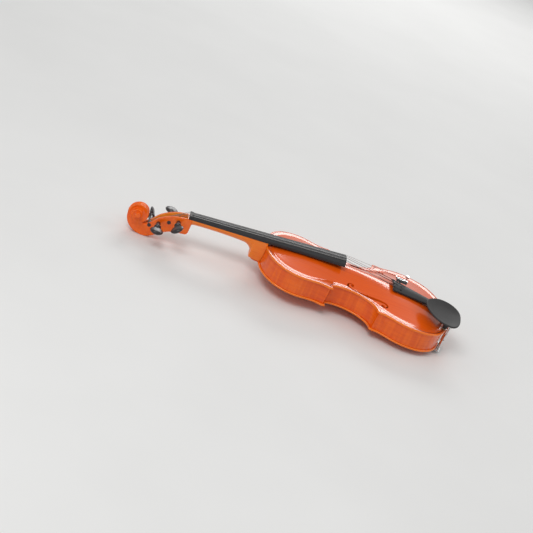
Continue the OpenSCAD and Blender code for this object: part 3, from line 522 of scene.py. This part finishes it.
top = plate("belly", [SPRUCE, EDGE_HIGHLIGHT], 1, RIB_H + EDGE_T / 2, BELLY_ARCH, 1.07 * BELLY_ARCH, ["top_plate"])
cut_sound_holes(top)
cut(top, tool("neck_notch", *prism([(-5, -17), (7.6, -17), (7.6, 17), (-5, 17)], 29, 45)))
clean(top, 35, weld=1e-7)
back = plate("back", [BACK_MAPLE, EDGE_HIGHLIGHT], -1, -EDGE_T / 2, BACK_ARCH, 0.97 * BACK_ARCH, ["back_plate"])


def back_button():
    a = np.linspace(-math.pi / 2, math.pi / 2, 33)
    outline = np.vstack([[(2.5, -11)], np.c_[-4.5 - 11 * np.cos(a), 11 * np.sin(a)], [(2.5, 11)]])
    centre = np.array([-2.0, 0.0])
    rings = [np.c_[lerp(centre, outline, 1 - inset / 11), np.full(len(outline), z)]
             for inset, z in ((1.2, 0), (0.4, -0.3), (0, -1.2), (0, -2.8), (0.5, -3.6), (1.4, -4))]
    return put("button", *loft(rings), [BACK_MAPLE])


back_button()


def meet(p, u, q, v):
    return p + u * ((q[0] - p[0]) * v[1] - (q[1] - p[1]) * v[0]) / (u[0] * v[1] - u[1] * v[0])


def corner(a, b, d):
    """Mitre of two edges moved d inwards."""
    u, v = a[-1] - a[-2], b[1] - b[0]
    u, v = u / np.linalg.norm(u), v / np.linalg.norm(v)
    return meet(a[-1] + d * np.array([u[1], -u[0]]), u, b[0] + d * np.array([v[1], -v[0]]), v)


def away(ps, q, r):
    return ps[np.linalg.norm(ps - q, axis=1) > r]


def rim_line(d):
    cu, cl = corner(upper_edge, waist_edge, d), corner(waist_edge, lower_edge, d)
    a = away(moved_right(upper_edge, d), cu, 0.6 * d)
    b = away(away(moved_right(waist_edge, d), CORNER_U[1], 1.62 * d), CORNER_L[0], 1.62 * d)
    c = away(moved_right(lower_edge, d), cl, 0.6 * d)
    return np.vstack([a, [cu], b, [cl], c])


def purfling(name, z, skip_x):
    """Inlaid line with square corners, flush with the flat rim."""
    pieces = []
    line = rim_line(4.65)
    keep = (line[:, 0] > skip_x[0]) & ((line[:, 0] < skip_x[1]) | (line[:, 1] > 18))
    line = line[keep]
    side = headings(line)
    normal = np.c_[side[:, 1], -side[:, 0]] * 0.65
    rings = [np.stack([np.r_[p - n, z[0]], np.r_[p - n, z[1]], np.r_[p + n, z[1]], np.r_[p + n, z[0]]])
             for p, n in zip(line, normal)]
    pieces.append(loft(rings))
    pieces.append(mirrored(pieces[0]))
    obj = put(name, *joined(*pieces), [INLAY])
    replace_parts(obj, name)


purfling("purfling_top", (BELLY_Z - 1, BELLY_Z + 0.03), (8.5, BODY - 8))
purfling("purfling_back", (-EDGE_T - 0.03, -EDGE_T + 1), (-1, BODY + 1))

# ---------------------------------------------------------------- ribs
OVER = 2.8
RIB_U, RIB_L = (0.3511 * BODY, 0.881 * UPPER), (0.6096 * BODY, 0.852 * LOWER)
RIB_UPPER, RIB_WAIST, RIB_LOWER = UPPER - OVER, WAIST - OVER, LOWER - OVER
rib_lines = {
    "upper": path([[(OVER, 0), (OVER, 0.512 * UPPER), (0.067 * BODY, RIB_UPPER), (0.191 * BODY, RIB_UPPER)],
                   [(0.191 * BODY, RIB_UPPER), (0.242 * BODY, RIB_UPPER), (0.292 * BODY, 0.815 * UPPER), RIB_U]],
                  STEPS),
    "waist": path([[RIB_U, (0.3357 * BODY, 1.107 * WAIST), (0.382 * BODY, RIB_WAIST), (0.458 * BODY, RIB_WAIST)],
                   [(0.458 * BODY, RIB_WAIST), (0.534 * BODY, RIB_WAIST), (0.608 * BODY, 1.232 * WAIST), RIB_L]],
                  STEPS),
    "lower": path([[RIB_L, (0.668 * BODY, 0.8255 * LOWER), (0.711 * BODY, RIB_LOWER), (0.778 * BODY, RIB_LOWER)],
                   [(0.778 * BODY, RIB_LOWER), (0.916 * BODY, RIB_LOWER), (BODY - OVER, 0.66 * LOWER),
                    (BODY - OVER, 0)]], STEPS)}


def rib(part, side):
    line = rib_lines[part]
    if part == "upper":
        line = line[line[:, 1] > 11]
    inner = moved_right(line, RIB_T)
    inner[0] = line[0] + (inner[0] - line[0]) * 0.3
    inner[-1] = line[-1] + (inner[-1] - line[-1]) * 0.3
    levels = np.linspace(0, RIB_H, 5)
    rings = [np.vstack([np.c_[np.repeat([o], 5, 0), levels], np.c_[np.repeat([i], 5, 0), levels[::-1]]])
             for o, i in zip(line * (1, side), inner * (1, side))]
    name = f"rib_{part}_{'treble' if side > 0 else 'bass'}"
    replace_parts(put(name, *loft(rings), [MAPLE]), name)


for part in rib_lines:
    for side in (1, -1):
        rib(part, side)


# ---------------------------------------------------------------- neck shaft and heel
def glue_z(x):
    return GLUE_Z0 + BOARD_SLOPE * np.asarray(x, float)


def board_half(x):
    return lerp(12.0, 21.0, (np.asarray(x, float) - NUT_X) / (BOARD_END_X - NUT_X))


NECK_LINE = np.array([(-134.5, 6.2, 2.3), (-130, 10.6, 2.1), (-122, 12.4, 2), (-105, 14.6, 2), (-80, 17.1, 2),
                      (-52, 18.9, 2), (-36, 19.2, 2), (-29, 17.6, 2.1), (-24, 14.2, 2.2), (-21, 10, 2.3),
                      (-19.4, 3, 2.5), (-18.6, -5, 2.7), (-16, -9, 2.8), (3.4, -11, 3)])


def neck_shaft():
    line = smooth_path(NECK_LINE, 6)
    a = np.linspace(0, math.pi, 41)
    rings = []
    for x, z, power in line:
        e = 2 / power
        wide = board_half(x) + 0.8 * np.clip((x + 36) / 20, 0, 1)
        y = wide * np.sign(np.cos(a)) * np.abs(np.cos(a)) ** e
        down = glue_z(x) - (glue_z(x) - z) * np.sin(a) ** e
        rings.append(np.c_[np.full(41, x), y, np.maximum(down, 0)])
    return loft(rings)


# ---------------------------------------------------------------- head: pegbox and scroll
EYE = np.array([-223.3, -5.3])
TURN_CENTRE = np.array([-221.8, -9.0])
front = np.vstack([
    bez([(-134.5, 22), (-153, 20.4), (-171, 15.2), (-187.5, 0.8)], np.arange(24) / 24),
    bez([(-187.5, 0.8), (-194.5, -6.5), (-196.5, -15.5), (-209.6, -20.8)], np.arange(17) / 16)])
under = np.vstack([
    bez([(-134.5, -7.2), (-143, -9.8), (-154, -10.5), (-163.3, -15.4)], np.arange(12) / 12),
    bez([(-163.3, -15.4), (-181, -25), (-188, -42.3), (-205.4, -42.3)], np.arange(24) / 24),
    bez([(-205.4, -42.3), (-225, -42.3), (-241.2, -30), (-241.2, -10)], np.arange(33) / 32)])
# half widths of the head and of its cavity along x
WIDE = np.array([(-245, 6.2), (-232, 6.6), (-222, 7.2), (-205, 8.6), (-180, 10.8), (-154, 12.6),
                 (-131, 13.2)])
CAVITY = np.array([(-204.4, 4.1), (-185, 5.4), (-169, 6.5), (-154, 7.6), (-143, 8.2)])
# radius and half width of the scroll at turn angles in degrees
TURN_R = np.array([(0, 19.4), (90, 18.9), (200, 16.4), (290, 13.4), (360, 11.4), (450, 9.2), (560, 7.0),
                   (640, 5.6), (720, 4.6)])
TURN_W = np.array([(-140, 8.8), (-60, 7.0), (0, 6.6), (120, 8), (240, 10.5), (360, 13), (480, 16),
                   (600, 18.8), (720, 21)])
LAST_TURN, EYE_HALF, EYE_R, EASE = 720, 21, 4.4, 1.1


def cubic_table(table, v):
    """Smooth reading of a table of (key, value) rows."""
    k, w = table[:, 0], table[:, 1]
    slope = np.gradient(w, k)
    v = np.clip(v, k[0], k[-1])
    i = np.clip(np.searchsorted(k, v) - 1, 0, len(k) - 2)
    h = k[i + 1] - k[i]
    t = (v - k[i]) / h
    return ((2 * t ** 3 - 3 * t ** 2 + 1) * w[i] + (t ** 3 - 2 * t ** 2 + t) * h * slope[i]
            + (-2 * t ** 3 + 3 * t ** 2) * w[i + 1] + (t ** 3 - t ** 2) * h * slope[i + 1])


def turn_centre(a):
    return lerp(TURN_CENTRE, EYE, np.clip(a / 600, 0, 1))


def aim_at(a):
    """Direction of a turn angle in the scroll's side plane."""
    r = math.radians(a)
    return np.array([-math.cos(r), math.sin(r)])


def turn_point(a, shrink=0.0):
    """Outer border of the scroll at turn angle a: from the throat (negative) over the top to the eye."""
    aim = aim_at(a)
    if a >= 0:
        return turn_centre(a) + (cubic_table(TURN_R, a) - shrink) * aim
    rel = under - TURN_CENTRE
    angle = np.degrees(np.arctan2(rel[:, 1], -rel[:, 0]))
    order = np.argsort(angle)
    dist = np.interp(a, angle[order], np.linalg.norm(rel, axis=1)[order])
    return TURN_CENTRE + (dist - shrink) * aim


def arc_share(curve, n):
    """n points evenly spaced along a curve."""
    d = np.r_[0, np.cumsum(np.linalg.norm(np.diff(curve, axis=0), axis=1))]
    s = np.linspace(0, d[-1], n)
    return np.c_[np.interp(s, d, curve[:, 0]), np.interp(s, d, curve[:, 1])]


THROAT_A = -136
throat_end = turn_point(THROAT_A)
pegbox_under = under[: int(np.argmin(np.linalg.norm(under - throat_end, axis=1))) + 1]


def pegbox():
    """Half of the pegbox, from the chin to the throat: outside, rim, cavity wall and cavity floor."""
    n = 90
    top_line, low_line = arc_share(front, n), arc_share(pegbox_under, n)
    rings = []
    for i in range(n):
        f, b = top_line[i], low_line[i]
        across = (f - b) / np.linalg.norm(f - b)
        tall = np.linalg.norm(f - b)
        x = f[0]
        w = cubic_table(WIDE, lerp(f[0], b[0], 0.5))
        wi = cubic_table(CAVITY, x)
        open_share = np.clip((x + 204.9) / 3, 0, 1) * np.clip((-141.5 - x) / 2.5, 0, 1)
        deep = open_share * (tall - 6.5)
        rows = [(0, 0.9), (0.3 * w, 0.1), (0.62 * w, 1.0), (0.86 * w, 0.1), (w - 0.9, 0), (w - 0.2, 0.5),
                (w, 1.4), (w, 0.35 * tall), (w, 0.7 * tall), (w, tall - 1.2), (w - 0.3, tall - 0.3),
                (w - EASE, tall), (wi + 0.9, tall), (wi + 0.2, tall - 0.25 * open_share),
                (wi, tall - min(deep, 1.0)), (wi - 0.15, tall - deep * 0.5), (wi - 0.5, tall - deep * 0.9),
                (wi - 1.6, tall - deep), (0, tall - deep)]
        ring = []
        for y, h in rows:
            p = b + across * h
            ring.append((p[0], y, p[1]))
        rings.append(ring)
    return half_shell(rings)


def half_shell(rings):
    """Points and faces of an open skin through rings of equal length."""
    v = np.array(rings)
    return v.reshape(-1, 3), grid_faces(v.shape[0], v.shape[1])


def scroll_side():
    """Half of the scroll's side: each turn's scooped face and the wall up to the next turn."""
    rings = []
    for a in np.arange(THROAT_A, LAST_TURN + 1, 6):
        w = cubic_table(TURN_W, a)
        outer = turn_point(a)
        if a + 360 <= LAST_TURN:
            inner, top_w = turn_point(a + 360), cubic_table(TURN_W, a + 360)
        else:
            inner, top_w = EYE + EYE_R * aim_at(a), EYE_HALF
        gap = np.linalg.norm(inner - outer)
        aim = (inner - outer) / max(gap, 1e-6)
        scoop = min(1.8, 0.16 * gap)
        row = [(outer[0], w - EASE, outer[1])]
        p = outer + aim * min(0.35, gap * 0.1)
        row.append((p[0], w - 0.3, p[1]))
        crest = outer + aim * min(1.1, gap * 0.25)
        row.append((crest[0], w, crest[1]))
        for t in np.linspace(0, 1, 9)[1:]:
            p = lerp(crest, inner - aim * 0.2, t)
            row.append((p[0], w - scoop * math.sin(math.pi * min(t * 0.62, 1)) ** 1.3, p[1]))
        for t in (0.5, 0.85):
            row.append((inner[0], lerp(row[-1][1], top_w - EASE, t), inner[1]))
        row.append((inner[0], top_w - EASE, inner[1]))
        rings.append(row)
    return half_shell(rings)


def scroll_back():
    """The scroll's outer skin, fluted on both sides of a middle ridge."""
    rings = []
    for a in np.arange(THROAT_A, 331, 5):
        w = cubic_table(TURN_W, a) - EASE
        ring = []
        for share in np.linspace(-1, 1, 25):
            p = turn_point(a, 1.25 * np.abs(np.sin(np.pi * share)) ** 1.5)
            ring.append((p[0], w * share, p[1]))
        rings.append(ring)
    return half_shell(rings)


def eye(side):
    """Round button at the middle of the scroll."""
    a = np.arange(32) * 2 * math.pi / 32
    rings = []
    for r, y in ((4.6, 17.5), (4.6, 20.2), (4.3, 20.9), (3.5, 21.3), (2.2, 21.5), (0.8, 21.6)):
        rings.append(np.c_[EYE[0] + r * np.cos(a), np.full(32, side * y), EYE[1] + r * np.sin(a)])
    return loft(rings)


def chin():
    """Rounded end of the pegbox above the start of the neck."""
    rings = []
    for dx, inset in ((-0.4, 0.0), (1.0, 0.5), (2.1, 1.5), (2.7, 2.8)):
        w = 13.1 - inset
        low, high = -7.3 + inset * 1.1, 21.6
        rows = [(0, low), (0.62 * w, low), (0.88 * w, low + 0.4), (0.98 * w, low + 1.6), (w, low + 4),
                (w, 10), (w, high), (0, high)]
        x = NUT_X + dx
        rings.append([(x, y, z) for y, z in rows] + [(x, -y, z) for y, z in rows[-2:0:-1]])
    return loft(rings)


half_head = joined(pegbox(), scroll_side())
whole_head = joined(half_head, mirrored(half_head), scroll_back(), eye(1), eye(-1), chin())
head_obj = put("pegbox_and_scroll", *whole_head, [HEAD, INSIDE], sharp=38)
put("neck_shaft", *neck_shaft(), [SHAFT], sharp=50)
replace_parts(head_obj, "neck")

# the walls and the floor of the pegbox's cavity have the paler varnish
for polygon in head_obj.data.polygons:
    c = TO_ROW.inverted() @ polygon.center
    limit = np.interp(c.x, [-203, -143], [5.0, 9.0])
    if -203 < c.x < -141 and abs(c.y) < limit and c.z > np.interp(c.x, [-205, -163, -134], [-36, -10, -1]):
        polygon.material_index = 1


# ---------------------------------------------------------------- fingerboard
def crown_rise(half, share):
    """Rise of a crown of this half width at a share of it."""
    return np.sqrt(CROWN_R ** 2 - (share * half) ** 2) - math.sqrt(CROWN_R ** 2 - half ** 2)


def crown(x, y):
    share = y / board_half(x)
    along = (x - NUT_X) / (BOARD_END_X - NUT_X)
    return glue_z(x) + BOARD_EDGE_T + lerp(crown_rise(12.0, share), crown_rise(21.0, share), along)


def fingerboard():
    """Ebony board with a crowned top, eased along its edges and at its free end."""
    rings = []
    for x, inset in ((NUT_X, 0), (-40, 0), (60, 0), (BOARD_END_X - 0.7, 0), (BOARD_END_X - 0.2, 0.15),
                     (BOARD_END_X, 0.6)):
        h = board_half(x) - inset
        y = np.linspace(-h + 0.5, h - 0.5, 31)
        z = crown(x, y) - inset
        low = glue_z(x) + 0.05 + inset
        side = z[0] - 0.55
        shoulder = z[0] - 0.18
        ring = [(x, -h, low + 0.3), (x, -h, side), (x, -h + 0.15, shoulder)]
        ring += [(x, a, b) for a, b in zip(y, z)]
        ring += [(x, h - 0.15, shoulder), (x, h, side), (x, h, low + 0.3), (x, h - 0.3, low), (x, -h + 0.3, low)]
        rings.append(ring)
    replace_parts(put("fingerboard", *loft(rings), [BOARD], sharp=40), "fingerboard")


fingerboard()


# ---------------------------------------------------------------- tailpiece
def piece_z(x):
    return lerp(50.2, 43.4, (np.asarray(x, float) - HEAD_X) / (TAIL_X - HEAD_X))


PIECE_W = np.array([(238, 21), (243, 20.6), (258, 18.4), (293, 14.0), (328, 11), (348, 10)])


def piece_half(x):
    return cubic_table(PIECE_W, x)


def piece_top(x, y):
    c = np.interp(x, [238, 288, 348], [5.2, 4.4, 2.6])
    return piece_z(x) + 3 + c * (1 - (y / piece_half(x)) ** 2)


def tailpiece():
    """Arched top with a ridge behind the strings' way in, hollow underneath, with four keyholes."""
    rings = []
    stations = [(HEAD_X, 0.7), (HEAD_X + 0.25, 0.25), (HEAD_X + 0.9, 0)]
    stations += [(x, 0) for x in np.arange(241, 347, 3)]
    stations += [(TAIL_X - 0.8, 0), (TAIL_X - 0.2, 0.3), (TAIL_X, 0.9)]
    for x, inset in stations:
        h = piece_half(x) - inset
        y = np.linspace(-h + 0.5, h - 0.5, 27)
        ridge = 0.7 * math.exp(-((x - HEAD_X - 3.2) / 1.1) ** 2)
        z = piece_top(x, y) - inset + ridge
        low = piece_z(x) + inset
        ring = [(x, -h, low + 0.4), (x, -h, z[0] - 0.5)] + [(x, a, b) for a, b in zip(y, z)]
        ring += [(x, h, z[0] - 0.5), (x, h, low + 0.4)]
        ring += [(x, a, low + 0.3 + 3.6 * (1 - (a / h) ** 2)) for a in np.linspace(h - 0.6, -h + 0.6, 15)]
        rings.append(ring)
    obj = put("tailpiece", *loft(rings), [PIECE_BLACK], sharp=40)
    a = np.radians(np.linspace(-159, 159, 25))
    hole_r, slot, slot_x = 1.7, 0.6, HEAD_X - 2
    hole = np.c_[HOOK_X + hole_r * np.cos(a), hole_r * np.sin(a)]
    keyhole = np.vstack([[(slot_x, -slot)], hole, [(slot_x, slot)]])
    for y in HOOK_Y:
        cut(obj, tool("keyhole", *prism(keyhole + (0, y), 44, 62)))
    clean(obj, 35, weld=1e-7)
    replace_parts(obj, "tailpiece")


tailpiece()


# ---------------------------------------------------------------- pegs
def revolve(profile, n=40):
    """Turned solid of (radius, height) rows around the z axis."""
    a = np.arange(n) * 2 * math.pi / n
    return loft([np.c_[r * np.cos(a), r * np.sin(a), np.full(n, w)] for r, w in profile])


def thumb(turn):
    """Flattened oval thumb piece with hollowed faces and a rounded rim."""
    rings = []
    n = 48
    for phi in np.linspace(-math.pi / 2 + 0.06, math.pi / 2 - 0.06, 31):
        a = np.arange(n) * 2 * math.pi / n
        r = math.cos(phi) ** 0.86
        hollow = 1 - 0.22 * r ** 2 * math.exp(-(phi / 0.55) ** 2)
        x = 11.6 * r * np.sign(np.cos(a)) * np.abs(np.cos(a)) ** 0.95
        y = 4.6 * r ** 0.8 * np.sign(np.sin(a)) * np.abs(np.sin(a)) ** 1.05 * hollow
        rings.append(np.c_[x, y, np.full(n, PEG_REACH + 10.9 * math.sin(phi))])
    return loft(rings)


def peg(key):
    """One peg and its winding, laid across the pegbox with the thumb piece on its own side."""
    x0, z0, side, turn, wound_y = PEGS[key]
    string_d = STRING_D["gdae".index(key)]
    half = float(cubic_table(WIDE, x0))
    tip = half + 1.1
    rod = [(0.6, -tip - 0.5), (2.2, -tip - 0.3), (PEG_R - tip / 60, -tip + 0.5), (PEG_R + 20 / 60, 20),
           (PEG_R + 0.3, 26.0), (4.6, 26.6), (5.9, 27.3), (6.3, 28.2), (6.2, 29.2), (5.4, 30.0), (4.3, 30.6),
           (3.9, 31.6), (4.4, 33.2), (5.2, 35), (4, 38)]
    v, f = joined(revolve(rod), thumb(turn))
    spin = Matrix.Rotation(math.radians(turn), 3, "Z")
    aim = Matrix.Rotation(math.radians(90 if side < 0 else -90), 3, "X")
    m = np.array(aim @ spin)
    obj = put(f"peg_{key}", v @ m.T + (x0, 0, z0), f, [PEG_BLACK], body=f"peg_{key}_body", sharp=45)
    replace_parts(obj, f"peg_{key}")
    pitch, turns = string_d * 1.08, 4
    a = np.linspace(0, 2 * math.pi * turns, 24 * turns)
    w = side * wound_y - pitch * turns / 2 + pitch * a / (2 * math.pi)
    r = PEG_R + w / 60 + string_d / 2
    coil = np.c_[r * np.cos(a), r * np.sin(a), w] @ np.array(aim).T + (x0, 0, z0)
    obj = put(f"winding_{key}", *tube(coil, string_d / 2, 8), [STEEL], body=f"peg_{key}_body")
    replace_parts(obj, f"winding_{key}")


for key in PEGS:
    peg(key)


# ---------------------------------------------------------------- strings
TUNER = np.array([HOOK_X, HOOK_Y[3], float(piece_top(HOOK_X, HOOK_Y[3])) + 1.2])


def string_route(n):
    """Middle line of a string: its peg, the nut, the fingerboard and its end at the tailpiece."""
    px, pz, side, _, py = PEGS["gdae"[n]]
    y0, y1 = 8.25 * (-1, -1 / 3, 1 / 3, 1)[n], HOOK_Y[n] * 0.86
    up = PEG_R + side * py / 60 + STRING_D[n] * 1.5 + 0.45

    def over(x, y):
        return float(crown(x, y)) + STRING_D[n] / 2 + 0.18

    ya, yb = lerp(y0, y1, 0.11), lerp(y0, y1, 0.74)
    lip_x, hook_y = HEAD_X + 1.5, HOOK_Y[n]
    ends = [tuple(TUNER + (-12.3, 0, 8.2))] if n == 3 else [
        (lip_x, hook_y, float(piece_top(lip_x, hook_y)) + STRING_D[n] / 2 + 0.5),
        (HOOK_X - 1.2, hook_y, float(piece_top(HOOK_X, hook_y)) - 0.6)]
    at_nut = over(NUT_X, y0) - float(glue_z(NUT_X))
    lean = math.radians(35)
    nut_front = NUT_X - 6.5
    return [(px - up * math.sin(lean), py, pz + up * math.cos(lean)),
            (nut_front, y0, float(glue_z(nut_front)) + at_nut),
            (NUT_X, y0, float(glue_z(NUT_X)) + at_nut), (NUT_X + 40, ya, over(NUT_X + 40, ya)),
            (BOARD_END_X - 1, yb, over(BOARD_END_X - 1, yb))] + ends


def string(n):
    """Steel string with its silk-wrapped end at the tailpiece."""
    p = np.array(string_route(n), float)
    steps = []
    for a, b in zip(p, p[1:]):
        steps.append(lerp(a, b, np.linspace(0, 1, 12, endpoint=False)[:, None]))
    line = np.vstack(steps + [p[-1:]])
    silk = line[:, 0] > HEAD_X - 34
    first = int(np.argmax(silk))
    radius = STRING_D[n] / 2
    v1, f1 = tube(line[:first + 1], radius, 10)
    v2, f2 = tube(line[first:], radius + (0.22 if n < 3 else 0.12), 10)
    v, f = joined((v1, f1), (v2, f2))
    key = "gdae"[n]
    slots = [0] * len(f1) + [1] * len(f2)
    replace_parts(put(f"string_{key}", v, f, [STEEL, SILK], face_slot=slots), f"string_{key}")


for n in range(4):
    string(n)


# ---------------------------------------------------------------- chin rest
CUP_EDGE = path([[(299, -34), (299, -20), (316, -4), (336, -4)],
                 [(336, -4), (353, -4), (367, -15), (367, -33)],
                 [(367, -33), (367, -58), (360, -78), (342, -78)],
                 [(342, -78), (327, -78), (318, -72), (310, -63)],
                 [(310, -63), (303, -55), (299, -44), (299, -34)]], 20)[:-1]
CUP_MIDDLE = np.array([337.0, -40.0])
# share of the way to the edge, height
CUP_SECTION = np.array([(0.02, -5.2), (0.3, -4.9), (0.6, -3.6), (0.82, -1.6), (0.93, -0.2), (0.975, 0.05),
                        (1, -0.6), (1, -2), (0.965, -3.4), (0.8, -5.6), (0.55, -7.6), (0.3, -8.4),
                        (0.02, -8.6)])


def chin_rest():
    """Hollowed cup with a rounded rim, on a block along the body's edge."""
    section = smooth_path(CUP_SECTION, 4)
    rings = []
    for s, z in section:
        q = lerp(CUP_MIDDLE, CUP_EDGE, s)
        plane = 59.6 + 0.13 * (q[:, 1] + 38) - 0.02 * (q[:, 0] - 336)
        rings.append(np.c_[q, plane + z])
    cup = loft(rings)
    line = bez([(0.778 * BODY, LOWER), (0.921 * BODY, LOWER), (BODY, 0.68 * LOWER), (BODY, 0)],
               np.linspace(0.66, 0.9, 24)) * (1, -1)
    outer, inner = moved_right(line, -1.0), moved_right(line, -8.0)
    block = prism(np.vstack([outer, inner[::-1]]), BELLY_Z + 2, BELLY_Z + 17)
    obj = put("chin_rest", *joined(cup, block), [REST_BLACK], sharp=50)
    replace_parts(obj, "chin_rest")


chin_rest()

# ---------------------------------------------------------------- pieces whose CAD shape stays
STAYS = {"nut": EBONY, "saddle": EBONY, "end_button": EBONY, "tailgut": GUT, "tailgut_nuts": BRASS,
         "string_ball_ends": BRASS, "chin_rest_cork": CORK, "clamp_foot_cork": CORK, "upper_block": BARE,
         "lower_block": BARE, "corner_blocks": BARE, "linings_top": BARE, "linings_back": BARE, "bass_bar": BARE,
         "soundpost": BARE}
for name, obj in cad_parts.items():
    material = STAYS.get(name, NICKEL)
    obj.data.materials.clear()
    obj.data.materials.append(material)


# ---------------------------------------------------------------- floor, light and camera
def stage_floor():
    size = 12.0
    mesh = bpy.data.meshes.new("floor")
    corners = [(-size, -size, 0), (size, -size, 0), (size, size, 0), (-size, size, 0)]
    mesh.from_pydata(corners, [], [(0, 1, 2, 3)])
    obj = bpy.data.objects.new("floor", mesh)
    bpy.context.scene.collection.objects.link(obj)
    s = Shader("floor_paint")
    tone = s.noise(s.mapped((3, 3, 3)), 1.0)
    s.colour(s.ramp(tone, [(0.3, (0.80, 0.80, 0.79)), (0.7, (0.83, 0.83, 0.82))]))
    s.set(Roughness=0.8)
    mesh.materials.append(s.mat)


def area_light(name, place, target, size, power):
    light = bpy.data.lights.new(name, "AREA")
    light.shape, light.size, light.size_y = "RECTANGLE", size[0], size[1]
    light.energy = power
    obj = bpy.data.objects.new(name, light)
    obj.location = place
    obj.rotation_euler = (Vector(target) - Vector(place)).to_track_quat("-Z", "Y").to_euler()
    bpy.context.scene.collection.objects.link(obj)


stage_floor()
area_light("key", (-0.9, -1.3, 2.1), (0, 0, 0.05), (1.2, 1.0), 22)
area_light("window", (0.45, 3.6, 1.95), (0, 0, 0.05), (2.2, 1.0), 40)
area_light("rim", (1.5, 0.4, 1.3), (0.1, 0, 0.05), (0.7, 0.7), 3)
world = bpy.data.worlds.new("studio")
world.use_nodes = True
world.node_tree.nodes["Background"].inputs["Color"].default_value = (1, 1, 1, 1)
world.node_tree.nodes["Background"].inputs["Strength"].default_value = 0.5
bpy.context.scene.world = world
bpy.context.scene.view_settings.view_transform = "Standard"

# camera of the reference view, in the V frame: where it stands, and its right, down and forward
CAMERA_AT = Vector((-341.3, -2022.2, 892.2))
CAMERA_RIGHT = Vector((0.9111, 0.0203, 0.4117))
CAMERA_DOWN = Vector((0.3792, -0.4327, -0.8179))
CAMERA_FORWARD = Vector((0.1615, 0.9013, -0.4019))
turn = Matrix.Rotation(REST_TILT, 3, "Y")
camera_data = bpy.data.cameras.new("camera")
camera_data.sensor_width = 36.0
camera_data.lens = 85.74
camera = bpy.data.objects.new("camera", camera_data)
axes = Matrix((turn @ CAMERA_RIGHT, turn @ -CAMERA_DOWN, turn @ -CAMERA_FORWARD)).transposed()
camera.matrix_world = Matrix.Translation(TO_ROW @ CAMERA_AT) @ axes.to_4x4()
bpy.context.scene.collection.objects.link(camera)
bpy.context.scene.camera = camera
